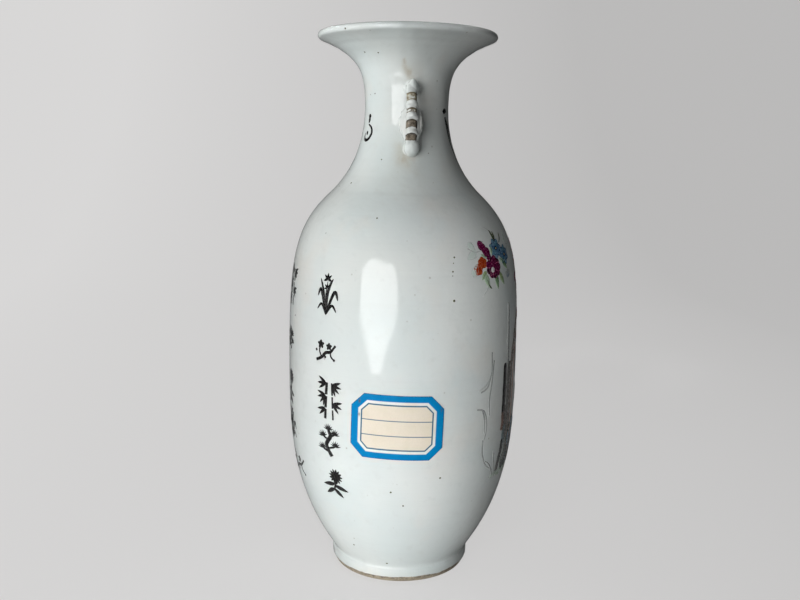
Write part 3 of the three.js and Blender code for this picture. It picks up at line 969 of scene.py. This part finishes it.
def orchid(paint, box):
    """A tuft of arching blades with two flowers on one stem."""
    foot = (-0.05, -0.5)
    for bend, tip, thickness in (
        ((-0.34, 0.12), (-0.5, -0.05), 1.5), ((0.34, 0.08), (0.52, -0.12), 1.7),
        ((0.03, 0.1), (0.24, 0.42), 1.6), ((-0.2, 0.05), (-0.4, 0.4), 1.4),
        ((0.24, -0.26), (0.46, -0.42), 1.3), ((-0.28, -0.24), (-0.5, -0.38), 1.2),
    ):
        paint.stroke(in_box(box, foot, bend, tip), thickness, INK, ends=(0.45, 0.12))
    paint.stroke(in_box(box, foot, (-0.08, 0.0), (-0.02, 0.36)), 0.7, INK)
    for y, size in ((0.4, 1.0), (0.18, 0.75)):
        for angle in (40, 90, 140, 200, 340):
            paint.petal(in_box(box, (-0.03, y))[0], angle, 2.5 * size, 1.3 * size, INK)


def plum(paint, box):
    """A knotted twig with two open blossoms, shoots and buds."""
    twig = ((-0.5, -0.46), (-0.2, -0.3), (0.02, -0.06), (0.28, 0.02), (0.5, 0.3))
    paint.stroke(in_box(box, *twig), 1.5, INK, ends=(0.9, 0.3), swell=0.4)
    for shoot in ((twig[1], (-0.32, 0.0), (-0.26, 0.24)), (twig[3], (0.3, -0.2), (0.46, -0.36))):
        paint.stroke(in_box(box, *shoot), 0.9, INK, ends=(0.8, 0.4))
    for x, y, size in ((-0.24, 0.32, 1.0), (0.2, 0.26, 0.85)):
        paint.ring(in_box(box, (x, y))[0], 5, 18, 1.9 * size, 1.5 * size, INK, blunt=1.2)
    for bud in in_box(box, (0.46, -0.36), (0.5, 0.3), (-0.5, 0.02), (0.0, -0.26)):
        paint.dot(bud, 0.6, INK)


def bamboo(paint, box):
    """Two jointed canes with drooping tufts of leaves on both sides."""
    for x, lean, thickness in ((-0.06, 0.08, 1.6), (0.22, -0.05, 1.0)):
        for low, high in ((-0.5, -0.24), (-0.2, 0.1), (0.14, 0.46)):
            length = in_box(box, (x + lean * low, low), (x + lean * high, high))
            paint.stroke(length, thickness, INK, ends=(1.0, 0.9), swell=0.3)
    for x, y, angles in (
        (-0.06, 0.44, (150, 185, 215)), (0.2, 0.4, (20, -10, -40, -68)),
        (-0.08, 0.12, (165, 195, 228, 255)), (0.24, -0.08, (12, -20, -52)),
        (-0.08, -0.22, (190, 222)),
    ):
        for angle in angles:
            paint.leaf(in_box(box, (x, y))[0], angle, 0.4 * box[0], 1.5, INK)


def pine(paint, box):
    """A bent trunk with level boughs under fans of needles."""
    trunk = in_box(box, (0.14, -0.5), (-0.12, -0.14), (0.1, 0.16), (-0.02, 0.36))
    paint.stroke(trunk, 2.2, INK, ends=(1.0, 0.4), swell=0.4)
    for x, y, tilt in (
        (-0.3, 0.12, 12), (0.32, 0.22, -10), (0.34, -0.16, -6), (-0.34, -0.28, 8), (0.0, 0.36, 0),
    ):
        bough = in_box(box, (0, y - 0.08), (x, y))
        paint.stroke(bough, 1.1, INK)
        for spread in range(-75, 76, 25):
            paint.petal(bough[1], 90 + tilt + spread, 2.7, 0.75, INK)


def chrysanthemum(paint, box):
    """One many-petalled flower on a leafy stem."""
    stem = in_box(box, (0.04, 0.22), (0.0, -0.2), (-0.1, -0.5))
    paint.ring(stem[0], 13, 0, 3.5, 1.25, INK, blunt=1.2)
    paint.dot(stem[0], 0.9, INK)
    paint.stroke(stem, 1.2, INK)
    for x, y, angle, length in (
        (0.0, -0.12, 190, 0.42), (-0.02, -0.2, 345, 0.44), (-0.05, -0.34, 215, 0.34),
        (-0.05, -0.36, 320, 0.36),
    ):
        paint.leaf(in_box(box, (x, y))[0], angle, length * box[0], 2.2, INK)


INK_PLANTS = [orchid, plum, bamboo, pine, chrysanthemum]
INK_ROWS = [  # turn and height of the middle, width and height
    (-42.0, 125.3, 10.4, 15.7), (-42.3, 102.6, 9.9, 8.5), (-40.9, 82.9, 11.9, 15.8),
    (-40.5, 65.8, 9.9, 13.0), (-38.5, 48.4, 15.6, 9.9),
]
INK_COLUMN_TURNS = [0, -35, -64, -98]


def ink_plants(material):
    paint = Paint("ink_plants")
    for column, offset in enumerate(INK_COLUMN_TURNS):
        for row, (turn, z, *box) in enumerate(INK_ROWS):
            paint.move(turn + offset, z)
            INK_PLANTS[(row + 2 * column) % len(INK_PLANTS)](paint, box)
    paint.done(material)


# Flowers in enamel

SPRAY_Z = 136.3  # height of a spray's middle in mm


def flower_spray(material, turn, name):
    """Cut flowers under the shoulder: a rose and its bud, two blue flowers and an orange one."""
    paint = Paint(name)
    paint.move(turn, SPRAY_Z)
    for x, y, angle in ((-12.0, 11.0, 300), (-9.0, 7.0, 210), (-12.5, -3.0, 60), (13.0, 9.0, 70)):
        paint.petal((x, y), angle, 6.0, 3.4, MINT, edge=GREY_WASH)
    for points in (
        [(-3.4, -4.0), (-5.0, -8.0), (-8.0, -11.0)], [(-13.0, 8.4), (-9.6, 6.8), (-6.4, 7.2)],
        [(12.0, 6.0), (15.6, 7.6), (18.0, 11.0)], [(4.0, 12.0), (1.4, 15.6), (-2.2, 17.0)],
    ):
        paint.stroke(points, 0.5, GREY_LINE, GREY_WASH)
    for x, y, angle, length, width, colour in (
        (-6.0, -2.0, 292, 6.4, 3.2, GREEN_PALE), (-5.0, -1.0, 230, 4.6, 2.4, YELLOW_GREEN),
        (1.2, -2.8, 278, 6.2, 3.0, GREEN), (3.8, -2.2, 302, 6.4, 2.8, YELLOW_GREEN),
        (7.0, 2.6, 318, 6.0, 2.8, GREEN), (5.0, 3.0, 350, 5.0, 2.4, GREEN_PALE),
        (0.0, 5.2, 84, 4.4, 2.2, GREEN_PALE), (-3.4, 4.4, 160, 3.8, 1.8, GREEN_PALE),
    ):
        paint.leaf((x, y), angle, length, width, colour, GREEN_PALE, GREEN_DARK)
    paint.stroke([(-4.8, -4.6), (-4.0, -6.8), (-2.4, -8.2)], 1.1, OLIVE, GREEN_DARK)
    for points, width in (
        ([(3.8, 10.6), (3.4, 12.8), (2.2, 15.4)], 1.6), ([(4.2, 10.6), (4.6, 12.8), (4.2, 14.8)], 1.2),
        ([(7.4, 9.6), (9.2, 11.8), (9.6, 13.8)], 0.9),
    ):
        paint.stroke(points, width, GREEN_DARK, OLIVE)
    for x, y, reach, turned in ((9.8, 4.6, 4.2, 30), (3.6, 7.6, 4.4, 8)):
        for i in range(7):
            blues = ((BLUE, TURQUOISE, BLUE_PALE)[i % 3], BLUE_PALE)
            paint.petal((x, y), 51.4 * i + turned, reach, 0.86 * reach, *blues, edge=BLUE_DEEP)
        paint.dot((x, y), 0.26 * reach, BLUE_DEEP)
        paint.dot((x, y), 0.13 * reach, YELLOW, RAISED)
    for angle in (60, 100, 140):
        paint.petal((11.6, -4.8), angle, 3.4, 2.0, BLUE_PALE, GREY_WASH, edge=GREY_LINE)
    for x, y, reach in ((-6.6, 2.4, 2.5), (-9.2, -0.2, 2.4)):
        paint.dot((x, y), 0.8 * reach, ORANGE_DEEP, FILL)
        paint.ring((x, y), 5, 24, reach, reach, ORANGE_DEEP, ORANGE, blunt=1.2, edge=IRON_RED)
        paint.dot((x, y), 0.6, IRON_RED)
    rose_bud(paint)
    rose_head(paint, (0.1, 0.2), 5.0)
    paint.done(material)


def rose_head(paint, centre, reach):
    """A full round rose: scalloped dark petals, curved folds and dots round a white heart."""
    for i in range(9):
        angle = math.radians(40 * i)
        place = (centre[0] + 0.66 * reach * math.cos(angle), centre[1] + 0.62 * reach * math.sin(angle))
        paint.dot(place, 0.34 * reach, ROSE_DARK if i % 2 else ROSE_DEEP, FILL)
    paint.dot(centre, 0.84 * reach, ROSE_DEEP, LINE)
    for away, count in ((0.8, 7), (0.58, 5), (0.38, 4)):
        for i in range(count):
            arc = [360 * (i + share) / count for share in (0.1, 0.5, 0.85)]
            points = [at_angle(centre, angle, away * reach) for angle in arc]
            paint.stroke(points, 0.8, ROSE_DARK, thickness=0.19)
            paint.dot(points[1], 0.36, ROSE, 0.22)
    heart = (centre[0] - 1.0, centre[1] - 1.0)
    paint.ring(heart, 5, 20, 2.3, 1.9, WHITE, blunt=1.1, edge=ROSE_PALE)
    paint.dot(heart, 1.3, WHITE, 0.24)


def rose_bud(paint):
    """A half-open bud that leans to the left above the rose."""
    middle = [(-1.8, 3.6), (-3.4, 6.2), (-5.8, 9.8)]
    paint.stroke(middle, 4.6, ROSE_DEEP, ends=(0.85, 0.7), thickness=FILL)
    for centre, radius in (((-5.9, 9.7), 1.7), ((-3.2, 6.4), 2.2), ((-4.9, 8.6), 1.8)):
        paint.dot(centre, radius, ROSE_DEEP, 0.12)
    for points in (
        [(-7.4, 8.6), (-6.2, 7.6), (-4.6, 8.8)], [(-5.0, 5.2), (-3.4, 4.6), (-1.6, 6.0)],
        [(-6.6, 10.8), (-5.6, 9.6), (-4.2, 11.0)],
    ):
        paint.stroke(points, 0.6, ROSE_DARK)
    for x, y in ((-6.4, 9.8), (-4.6, 8.0), (-3.4, 6.6), (-2.6, 5.2), (-4.8, 10.2)):
        paint.dot((x, y), 0.3, ROSE, 0.18)


def peony(paint, centre, size, rng):
    """Ruffled petals in rings, pale outside and deep in the middle, with a yellow heart."""
    for ring, (count, reach) in enumerate(((12, 9.5), (10, 7.2), (8, 5.2), (6, 3.4))):
        for i in range(count):
            angle = 360 * i / count + 19 * ring + rng.uniform(-6, 6)
            length = reach * size * rng.uniform(0.9, 1.08)
            shade = (ROSE, ROSE_PALE) if ring < 2 else (ROSE_DEEP, ROSE)
            paint.petal(centre, angle, length, length * 0.62, *shade, blunt=1.15, edge=ROSE_DEEP)
    for i in range(7):
        paint.dot(at_angle(centre, 360 * i / 7, size), 0.5 * size, YELLOW, RAISED)


def leaf_spray(paint, centre, angle, size):
    """Three pointed leaves from one stalk."""
    for spread, length in ((-38, 0.8), (0, 1.0), (38, 0.8)):
        paint.leaf(
            centre, angle + spread, 8.5 * size * length, 3.2 * size, GREEN, GREEN_PALE, GREEN_DARK
        )


def blossom(paint, centre, size, pale):
    """A five-petalled tree blossom."""
    paint.ring(centre, 5, 18, 2.3 * size, 1.9 * size, ROSE, pale, blunt=1.1, edge=ROSE_DEEP)
    paint.dot(centre, 0.45 * size, YELLOW, RAISED)


def butterfly(paint, centre, tilt, first, last):
    for angle, length, width in ((35, 5.6, 3.8), (-20, 3.8, 2.8), (145, 5.6, 3.8), (200, 3.8, 2.8)):
        paint.petal(centre, angle + tilt, length, width, first, last, blunt=1.2, edge=INK)
    body = [at_angle(centre, 90 + tilt, reach) for reach in (-2.6, 0, 2.2)]
    paint.stroke(body, 0.9, INK)
    for side in (60, 120):
        paint.stroke([body[2], at_angle(body[2], side + tilt, 2.6)], 0.25, INK)


def rock(paint, lobes):
    """A garden rock of rounded lobes, washed from dark feet to pale tops, with drawn edges."""
    for x, y, angle, length, width, first, last in lobes:
        paint.petal((x, y), angle, length, width, first, last, blunt=1.25, edge=GREEN_DARK)
        side = Vector(at_angle((0, 0), angle + 90, 0.22 * width))
        for share in (0.35, 0.55, 0.75):
            here = Vector(at_angle((x, y), angle, length * share))
            paint.stroke([here - side, here + side * 0.6], 0.35, GREEN_DARK, last)


GARDEN = (90, 75)  # turn and height of the middle of the painted front
GARDEN_SEED = 11
GROUND = -27  # its height from there in mm
TRUNK = [(-23, -22), (-23.6, -8), (-23.4, 6), (-22.6, 20), (-18, 32), (-11, 43), (-2, 52)]
STRIPES = [  # along the trunk's left: from and to a height, colours below and above, width, place
    (20, 46, GREY_LINE, GREY_WASH, 3.2, -27.6), (-12, 21, BARK_SHADE, BARK_SHADE, 11.0, -26.4),
    (0, 21, INK, INK, 4.0, -30.6), (-8, 3, RUST, BARK_DARK, 5.0, -30.0),
    (-15, -6, SLATE, SLATE, 7.6, -28.2), (-22, -12, GREY_LINE, GREY_LINE, 6.0, -25.0),
    (-26, -12, INK_THIN, INK, 3.8, -29.2), (14, 31, BARK_DARK, BARK_DARK, 1.2, -16.6),
]
TENDRILS = [
    [(-41.0, 27.4), (-41.0, 19.1), (-43.8, 14.4), (-48.4, 12.2)],
    [(-47.2, 11.4), (-43.5, 13.0), (-41.7, 17.0), (-40.0, 22.0)],
    [(-39.4, 23.8), (-40.9, 13.7), (-42.1, 6.8), (-41.4, 0.6)],
    [(-49.0, 4.7), (-44.6, 3.0), (-42.7, -4.1), (-44.2, -11.4)],
    [(-44.2, -9.0), (-43.4, -15.0), (-39.6, -21.0), (-33.5, -24.4)],
    [(-45.8, 3.7), (-44.4, -0.3), (-43.8, -6.4)],
]
BRANCHES = [
    [(-16, 38), (-9, 37), (0, 41), (9, 38)],
    [(-10, 45), (-12, 54), (-7, 62), (-8, 69)],
    [(-2, 52), (8, 55), (15, 61), (24, 62)],
]
ROCK_LOBES = [
    (-14, -26, 100, 22, 15, INK_THIN, BLUE_PALE), (-20, -27, 96, 17, 9, INK_THIN, BLUE_PALE),
    (-6, -27, 80, 17, 12, INK_THIN, TURQUOISE), (-10, -28, 92, 12, 12, GREY_LINE, BLUE),
    (0, -28, 84, 10, 9, INK_THIN, BLUE_PALE), (-24, -27, 92, 9, 6, INK, GREY_LINE),
]


def garden(material):
    """A blossoming tree by a rock, with peonies, grasses and butterflies."""
    paint = Paint("garden_scene")
    paint.move(*GARDEN)
    rng = random.Random(GARDEN_SEED)
    for i in range(13):
        x = -30 + 5 * i
        left, middle = GROUND - 1 + rng.uniform(-1, 1), GROUND + rng.uniform(-1, 1)
        points = [(x - 4, left), (x, middle), (x + 5, GROUND - 1.5)]
        paint.stroke(points, 3.6, MINT, GREEN_PALE, ends=(0.5, 0.4), thickness=WASH)
    blossoming_tree(paint, rng)
    rock(paint, ROCK_LOBES)
    for x, y, angle in (
        (-8, 2, 160), (8, -10, 215), (14, 0, 20), (4, 12, 100), (20, 4, 60), (-6, -10, 190), (22, -12, -10),
        (16, 16, 110), (27, 10, 20), (2, -14, 260), (13, -16, 290),
    ):
        leaf_spray(paint, (x, y), angle + rng.uniform(-10, 10), rng.uniform(0.85, 1.1))
    for x, y, size in ((2, 3, 1.05), (18, -6, 0.95), (12, 13, 0.75)):
        paint.stroke([(x * 0.5 + 4, GROUND), (x * 0.8 + 2, (y + GROUND) / 2), (x, y)], 0.8, GREEN_DARK)
        peony(paint, (x, y), size, rng)
    grasses(paint, rng)
    butterfly(paint, (17, 40), 20, YELLOW, ORANGE)
    butterfly(paint, (27, 30), -25, BLUE_PALE, BLUE)
    paint.done(material)


def blossoming_tree(paint, rng):
    """A leaning trunk with a lit and a dark side, knots, and blossoming branches."""
    paint.stroke(TRUNK, 6.2, BARK, ends=(1.0, 0.25), thickness=FILL, swell=0.3)
    for low, high, first, last, width, x in STRIPES:
        heights = [low + (high - low) * i / 3 for i in range(4)]
        points = [(x + 0.4 * math.sin(y), y) for y in heights]
        thickness = LINE if width < 2 else 0.11
        paint.stroke(points, width, first, last, ends=(0.8, 0.5), thickness=thickness, swell=0.3)
    for points in TENDRILS:
        paint.stroke(points, 1.4, GREY_LINE, GREY_WASH, ends=(0.5, 0.5), thickness=WASH)
    lit = [(x + 3.4, y) for x, y in TRUNK[:5]]
    paint.stroke(lit, 1.5, TERRACOTTA, ends=(0.9, 0.2), swell=0.3)
    for i in range(14):
        here, way = along_points(TRUNK, 0.05 + 0.055 * i)
        here += Vector((-way.y, way.x)) * rng.uniform(-1.6, 1.6)
        paint.stroke([here, here + way * 2.2], 0.35, BARK_DARK)
    for branch in BRANCHES:
        paint.stroke(branch, 2.2, BARK, BARK_DARK, ends=(0.9, 0.2), swell=0.4)
        for i in range(7):
            here, way = along_points(branch, 0.22 + 0.13 * i)
            side = Vector((-way.y, way.x)) * rng.choice((-2.2, 2.2))
            pale = ROSE_PALE if i % 2 else WHITE
            if i % 3 == 2:
                paint.dot(here + side * 0.7, 0.8, ROSE, stretch=1.2)
            else:
                blossom(paint, here + side, rng.uniform(0.85, 1.15), pale)


def grasses(paint, rng):
    """Long blades on both sides of the garden, in grey line and thin green."""
    for x, lean, height in (
        (-34, -2, 12), (-36, -5, 9), (30, 2, 20), (32, 5, 27), (34, 8, 18), (28, 0, 12),
    ):
        foot = (x * 0.9, GROUND)
        middle = (x + lean * 0.2, GROUND + height * 0.62)
        tip = (x + lean, GROUND + height * rng.uniform(0.92, 1.0))
        paint.stroke([foot, middle, tip], 0.9, GREY_LINE, GREY_WASH, ends=(0.6, 0.1))


HOOK_PLACES = [(-62.5, 190.5), (117.5, 190.5)]  # turn and height of their middles
STEM_PLACES = [(66, 188), (-114, 188)]


def neck_scrolls(material):
    """Curled ink tendrils with buds on both sides of each ear."""
    paint = Paint("neck_scrolls")
    hook = [
        (-0.2, 2.0), (2.0, 0.6), (2.8, -1.6), (1.4, -4.0), (-0.9, -4.6), (-2.2, -3.2), (-1.9, -1.6),
    ]
    for place in HOOK_PLACES:
        paint.move(*place)
        paint.stroke(hook, 1.6, INK, ends=(0.4, 0.2))
        paint.stroke([(0.2, 5.4), (0.1, 3.8), (-0.4, 2.6)], 1.7, INK, ends=(1.0, 0.1))
        paint.dot((0.2, 5.3), 0.95, INK)
        paint.dot((-0.4, -1.6), 0.7, INK, stretch=1.3)
    for place in STEM_PLACES:
        paint.move(*place)
        stem = [(-1.9, 8.0), (-0.6, 3.0), (0.6, -3.0), (2.6, -10.0)]
        paint.stroke(stem, 2.0, INK, INK_THIN, ends=(0.8, 0.15))
        paint.stroke([(-1.0, 6.6), (1.2, 3.0), (2.2, -2.0)], 1.6, INK)
        paint.stroke([(-3.6, 9.6), (-2.4, 10.6), (-0.8, 10.2)], 2.1, INK, ends=(0.8, 0.3))
        paint.dot((-2.6, 10.2), 1.0, INK)
    paint.done(material)


SPECK_SEED = 2
MORE_SPECKS = 30
SPECK_RISE = 0.05
SPECKS = [  # turn, height and radius in mm
    (19.8, 124.8, 0.5), (20.9, 141.4, 0.38), (20.2, 139.2, 0.24), (19.6, 136.0, 0.36),
    (19.4, 134.4, 0.22), (15.4, 53.0, 0.42), (-8.6, 47.2, 0.4), (-2.4, 41.1, 0.36),
    (-36.2, 17.1, 0.42), (-13.5, 9.0, 0.45),
    (-33.3, 220.0, 0.35), (-48.8, 220.5, 0.35), (-44.5, 228.0, 0.4), (-30.4, 178.2, 0.3),
    (37.4, 210.0, 0.22), (22.0, 181.0, 0.2), (-19.9, 155.8, 0.35), (-56.6, 168.5, 0.4),
]


def kiln_specks(material):
    """Dark iron spots in the glaze."""
    paint = Paint("kiln_specks")
    rng = random.Random(SPECK_SEED)
    for turn, z, radius in SPECKS:
        paint.move(turn, z)
        paint.dot((0, 0), radius, OLIVE, SPECK_RISE)
    for _ in range(MORE_SPECKS):
        paint.move(rng.uniform(50, 310), rng.uniform(12, 215))
        paint.dot((0, 0), rng.uniform(0.18, 0.4), OLIVE, SPECK_RISE)
    paint.done(material)


# The label

LABEL_TURN = -6.1
LABEL_Z = 74.7
LABEL_TILT = math.radians(-1.5)
LABEL_SIZE = (37.2, 26.4)
LABEL_CORNER = 5.2
LABEL_BORDER = (3.0, 2.65)  # at the sides, and above and below
LABEL_MARGIN = 1.2
LABEL_LINE = 0.4
LABEL_RULES = (2.8, -3.4)  # heights of the two ruled lines
LABEL_STAINS = [  # place, reach across and up, strength
    (-15.2, 9.9, 0.45, 0.8, 0.8), (-15.2, 4.4, 0.4, 0.7, 0.75), (17.6, 7.6, 0.35, 0.9, 0.5),
]
LABEL_GRID = (250, 178)  # fine enough for the edges of the print
LABEL_LIFT = 0.2 * MM
LABEL_CURL = 0.12 * MM  # how far the right edge has lifted, in a margin of a width in mm
LABEL_CURL_WIDTH = 1.6
PAPER = 0.16 * MM


def label_inset(x, y, side, level):
    """Distance in mm inside the cut-cornered outline, drawn in by side and level."""
    half_w, half_h = LABEL_SIZE[0] / 2 - side, LABEL_SIZE[1] / 2 - level
    corner = LABEL_CORNER - (side + level) * (1 - math.sqrt(0.5))
    edge = min(half_w - abs(x), half_h - abs(y))
    cut = (half_w + half_h - corner - abs(x) - abs(y)) / math.sqrt(2)
    return min(edge, cut)


def label_print(x, y):
    """(blue, rule, row, edge, stain) at a place of the label, each from 0 to 1."""
    inside = label_inset(x, y, *LABEL_BORDER)
    panel = inside - LABEL_MARGIN
    blue = 1 - smooth_share(inside, -0.06, 0.06)
    frame_line = 1 - smooth_share(abs(panel - LABEL_LINE / 2), LABEL_LINE / 2, LABEL_LINE / 2 + 0.12)
    ruled = 1 - smooth_share(min(abs(y - rule) for rule in LABEL_RULES), 0.08, 0.24)
    if panel < 0:
        ruled = 0.0
    edge = 1 - smooth_share(label_inset(x, y, 0, 0), 0.0, 0.45)
    stain = max(
        strength * math.exp(-((x - at_x) / reach_x) ** 2 - ((y - at_y) / reach_y) ** 2)
        for at_x, at_y, reach_x, reach_y, strength in LABEL_STAINS
    )
    return blue, max(frame_line, ruled), smooth_share(panel, 0, 0.2), edge, stain


def label(material):
    bm = bmesh.new()
    layers = [bm.verts.layers.float.new(name) for name in ("blue", "rule", "row", "edge", "stain")]
    bmesh.ops.create_grid(bm, x_segments=LABEL_GRID[0], y_segments=LABEL_GRID[1], size=1)
    bmesh.ops.scale(bm, vec=(LABEL_SIZE[0] / 2, LABEL_SIZE[1] / 2, 1), verts=bm.verts)
    offset = (LABEL_SIZE[0] + LABEL_SIZE[1]) / 2 - LABEL_CORNER
    for sx in (1, -1):
        for sy in (1, -1):
            bmesh.ops.bisect_plane(
                bm,
                geom=bm.verts[:] + bm.edges[:] + bm.faces[:],
                plane_co=(sx * offset, 0, 0),
                plane_no=Vector((sx, sy, 0)).normalized(),
                clear_outer=True,
            )
    cosine, sine = math.cos(LABEL_TILT), math.sin(LABEL_TILT)
    for vertex in bm.verts:
        x, y, _ = vertex.co
        for layer, value in zip(layers, label_print(x, y)):
            vertex[layer] = value
        margin = 1 - smooth_share(label_inset(x, y, 0, 0), 0, LABEL_CURL_WIDTH)
        curl = LABEL_CURL * margin * max(x, 0) / LABEL_SIZE[0]
        across, up = x * cosine - y * sine, x * sine + y * cosine
        vertex.co = wall.spot(LABEL_TURN, LABEL_Z * MM, across * MM, up * MM, LABEL_LIFT + curl)
    piece = finish_piece(mesh_of(bm, "paper_label"), "paper_label", material)
    thicken(piece, "paper_thickness", PAPER)
    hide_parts("price_label")


# Studio

SHEET_GREY = (0.75, 0.75, 0.75)
SHEET_TONE = (1.0, 0.99, 0.985)
# The backdrop's brightness is painted: a painted fall of light, brighter left of the vase than right of it
SHEET_LEFT = 0.86  # how the backdrop shows, left and right of the vase
SHEET_RIGHT = 0.62
SHEET_SPAN = 0.45  # metres from the vase to where it shows like that
SHEET_GLOW = 0.78  # the share of that in the floor; the rest is lit, and takes the shadow
SHEET_HALF = 1.6
SHEET_HEIGHT = 2.4
SHEET_BEND = 0.9


def studio_paper():
    """Pale paper that glows for the camera with painted light, brighter on the left than on the right, and
    still takes the vase's shadow.
    """
    finish = Finish("studio_paper")
    place = finish.part_of_place("Y")
    # Painted light: the glow falls off from the left of the vase to the right
    painted_falloff = finish.remap(place, SHEET_SPAN, -SHEET_SPAN, SHEET_LEFT, SHEET_RIGHT)
    glow = finish.node("Emission", {0: finish.ramp(painted_falloff, [(0, (0, 0, 0)), (1, SHEET_TONE)])})
    rays = finish.node("LightPath").outputs["Is Camera Ray"]
    share = finish.maths("MULTIPLY", rays, SHEET_GLOW)
    values = {0: share, 1: finish.shader.outputs[0], 2: glow.outputs[0]}
    both = finish.node("MixShader", values)
    finish.put(finish.tree.nodes["Material Output"].inputs["Surface"], both.outputs[0])
    return finish.done(SHEET_GREY, 0.9)


def floor_and_backdrop():
    bm = bmesh.new()
    bmesh.ops.create_grid(bm, x_segments=1, y_segments=1, size=SHEET_HALF)
    far_side, low = 0.9 * SHEET_HALF, 0.1 * SHEET_HALF
    far = [e for e in bm.edges if all(v.co.x > far_side for v in e.verts)]
    risen = bmesh.ops.extrude_edge_only(bm, edges=far)
    top = [g for g in risen["geom"] if isinstance(g, bmesh.types.BMVert)]
    bmesh.ops.translate(bm, vec=(0, 0, SHEET_HEIGHT), verts=top)
    corner = [e for e in bm.edges if all(v.co.x > far_side and v.co.z < low for v in e.verts)]
    bmesh.ops.bevel(
        bm,
        geom=corner,
        offset=SHEET_BEND,
        offset_type="OFFSET",
        segments=24,
        profile=0.5,
        affect="EDGES",
        material=-1,
    )
    bmesh.ops.recalc_face_normals(bm, faces=bm.faces)
    mesh = mesh_of(bm, "studio_sweep")
    mesh.shade_smooth()
    mesh.materials.append(studio_paper())
    sweep = show("studio_sweep", mesh)


def area_light(name, turn, elevation, distance, size, power, target_z, spread):
    """A soft light that faces the vase's axis at a height, and that glaze doesn't reflect.

    Turn, elevation and the spread of its beam are in degrees.
    """
    lamp = bpy.data.lights.new(name, "AREA")
    lamp.shape = "RECTANGLE"
    lamp.size, lamp.size_y = size
    lamp.energy = power
    lamp.spread = math.radians(spread)
    holder = show(name, lamp)
    flat, rise = at_angle((0, target_z), elevation, distance)
    holder.location = around(turn, flat, rise)
    way = Vector((0, 0, target_z)) - holder.location
    holder.rotation_euler = way.to_track_quat("-Z", "Y").to_euler()
    holder.visible_glossy = False
    holder.visible_camera = False
    return holder


# A window's upright panes: their sides and heights in metres, in a plane at a distance
WINDOW_TURN = -27.0
WINDOW_DISTANCE = 1.0
WINDOW_PANES = [
    (-0.33, 0.32, 0.005, 0.34), (-0.31, 0.285, 0.34, 0.385), (-0.28, 0.25, 0.385, 0.43),
    (-0.25, 0.21, 0.43, 0.47), (-0.21, 0.16, 0.47, 0.505),
]
# What a window would show of its foot where the floor hides it, for reflections only
LOW_PANE_DISTANCE = 0.3
LOW_PANES = [
    (-0.063, 0.074, 0.070, 0.086), (-0.051, 0.049, 0.057, 0.070), (-0.040, 0.033, 0.045, 0.057),
    (-0.020, 0.012, 0.035, 0.045),
]
WINDOW_BRIGHTNESS = 16.2  # watts for each square metre

OPEN_BEAM = 180
STRIP = (0.16, 0.05)
FILLS = [  # name, turn, elevation, distance, size, watts, the height that it faces, and spread
    ("top_fill", -50, 70, 0.9, (0.5, 0.5), 1.0, 0.12, OPEN_BEAM),
    ("far_fill", 160, 38, 1.4, (0.8, 0.8), 0.6, 0.12, 90),
    ("belly_fill", 2, 5, 0.45, STRIP, 0.006, 0.125, 20),
    ("foot_fill", -30, 0, 0.35, STRIP, 0.064, 0.035, 50),
    ("flare_fill", -60, 0, 0.40, STRIP, 0.010, 0.215, 40),
    ("flare_edge_fill", -85, 0, 0.40, STRIP, 0.052, 0.215, 40),
    ("lip_fill", -30, 30, 0.5, STRIP, 0.007, 0.24, 6),
]
ROOM = (0.62, 0.615, 0.61, 1)


def window_pane(index, distance, pane, lit):
    """A pane that glaze reflects, and that lights the vase where lit says so."""
    left, right, low, high = pane
    size, middle = (right - left, high - low), (low + high) / 2
    power = WINDOW_BRIGHTNESS * size[0] * size[1]
    name = f"window_pane_{index + 1}"
    holder = area_light(name, WINDOW_TURN, 0, distance, size, power, middle, OPEN_BEAM)
    angle = math.radians(WINDOW_TURN)
    holder.location += Vector((math.sin(angle), -math.cos(angle), 0)) * (left + right) / 2
    holder.visible_glossy = True
    holder.visible_diffuse = lit


def lights():
    for index, pane in enumerate(WINDOW_PANES):
        window_pane(index, WINDOW_DISTANCE, pane, True)
    for index, pane in enumerate(LOW_PANES, len(WINDOW_PANES)):
        window_pane(index, LOW_PANE_DISTANCE, pane, False)
    for fill in FILLS:
        area_light(*fill)
    world = bpy.data.worlds.new("room")
    world.use_nodes = True
    tree = world.node_tree
    room = tree.nodes["Background"]
    room.inputs["Color"].default_value = ROOM
    rays = tree.nodes.new("ShaderNodeLightPath")
    tree.links.new(rays.outputs["Is Camera Ray"], room.inputs["Strength"])
    bpy.context.scene.world = world


def camera():
    data = bpy.data.cameras.new("camera")
    data.sensor_width = SENSOR_WIDTH
    data.lens = CAMERA_LENS
    look = (
        Matrix.Rotation(math.radians(-90 + CAMERA_TURN) + CAMERA_YAW, 4, "Z")
        @ Matrix.Rotation(math.radians(90) - CAMERA_DOWN, 4, "X")
        @ Matrix.Rotation(CAMERA_ROLL, 4, "Z")
    )
    holder = show("camera", data)
    stand = around(CAMERA_TURN, CAMERA_DISTANCE, CAMERA_HEIGHT)
    holder.matrix_world = Matrix.Translation(stand) @ look
    bpy.context.scene.camera = holder


camera()
thrown_body(glaze_over_porcelain())
gilt = gilt_glaze()
for side in ("left", "right"):
    ear(side, gilt)
label(paper_print())

enamel = overglaze_enamel()
ink_plants(enamel)
flower_spray(enamel, 45.6, "flower_spray_left")
flower_spray(enamel, 138, "flower_spray_right")
neck_scrolls(enamel)
garden(enamel)
kiln_specks(enamel)

floor_and_backdrop()
lights()
bpy.context.scene.view_settings.view_transform = "Standard"
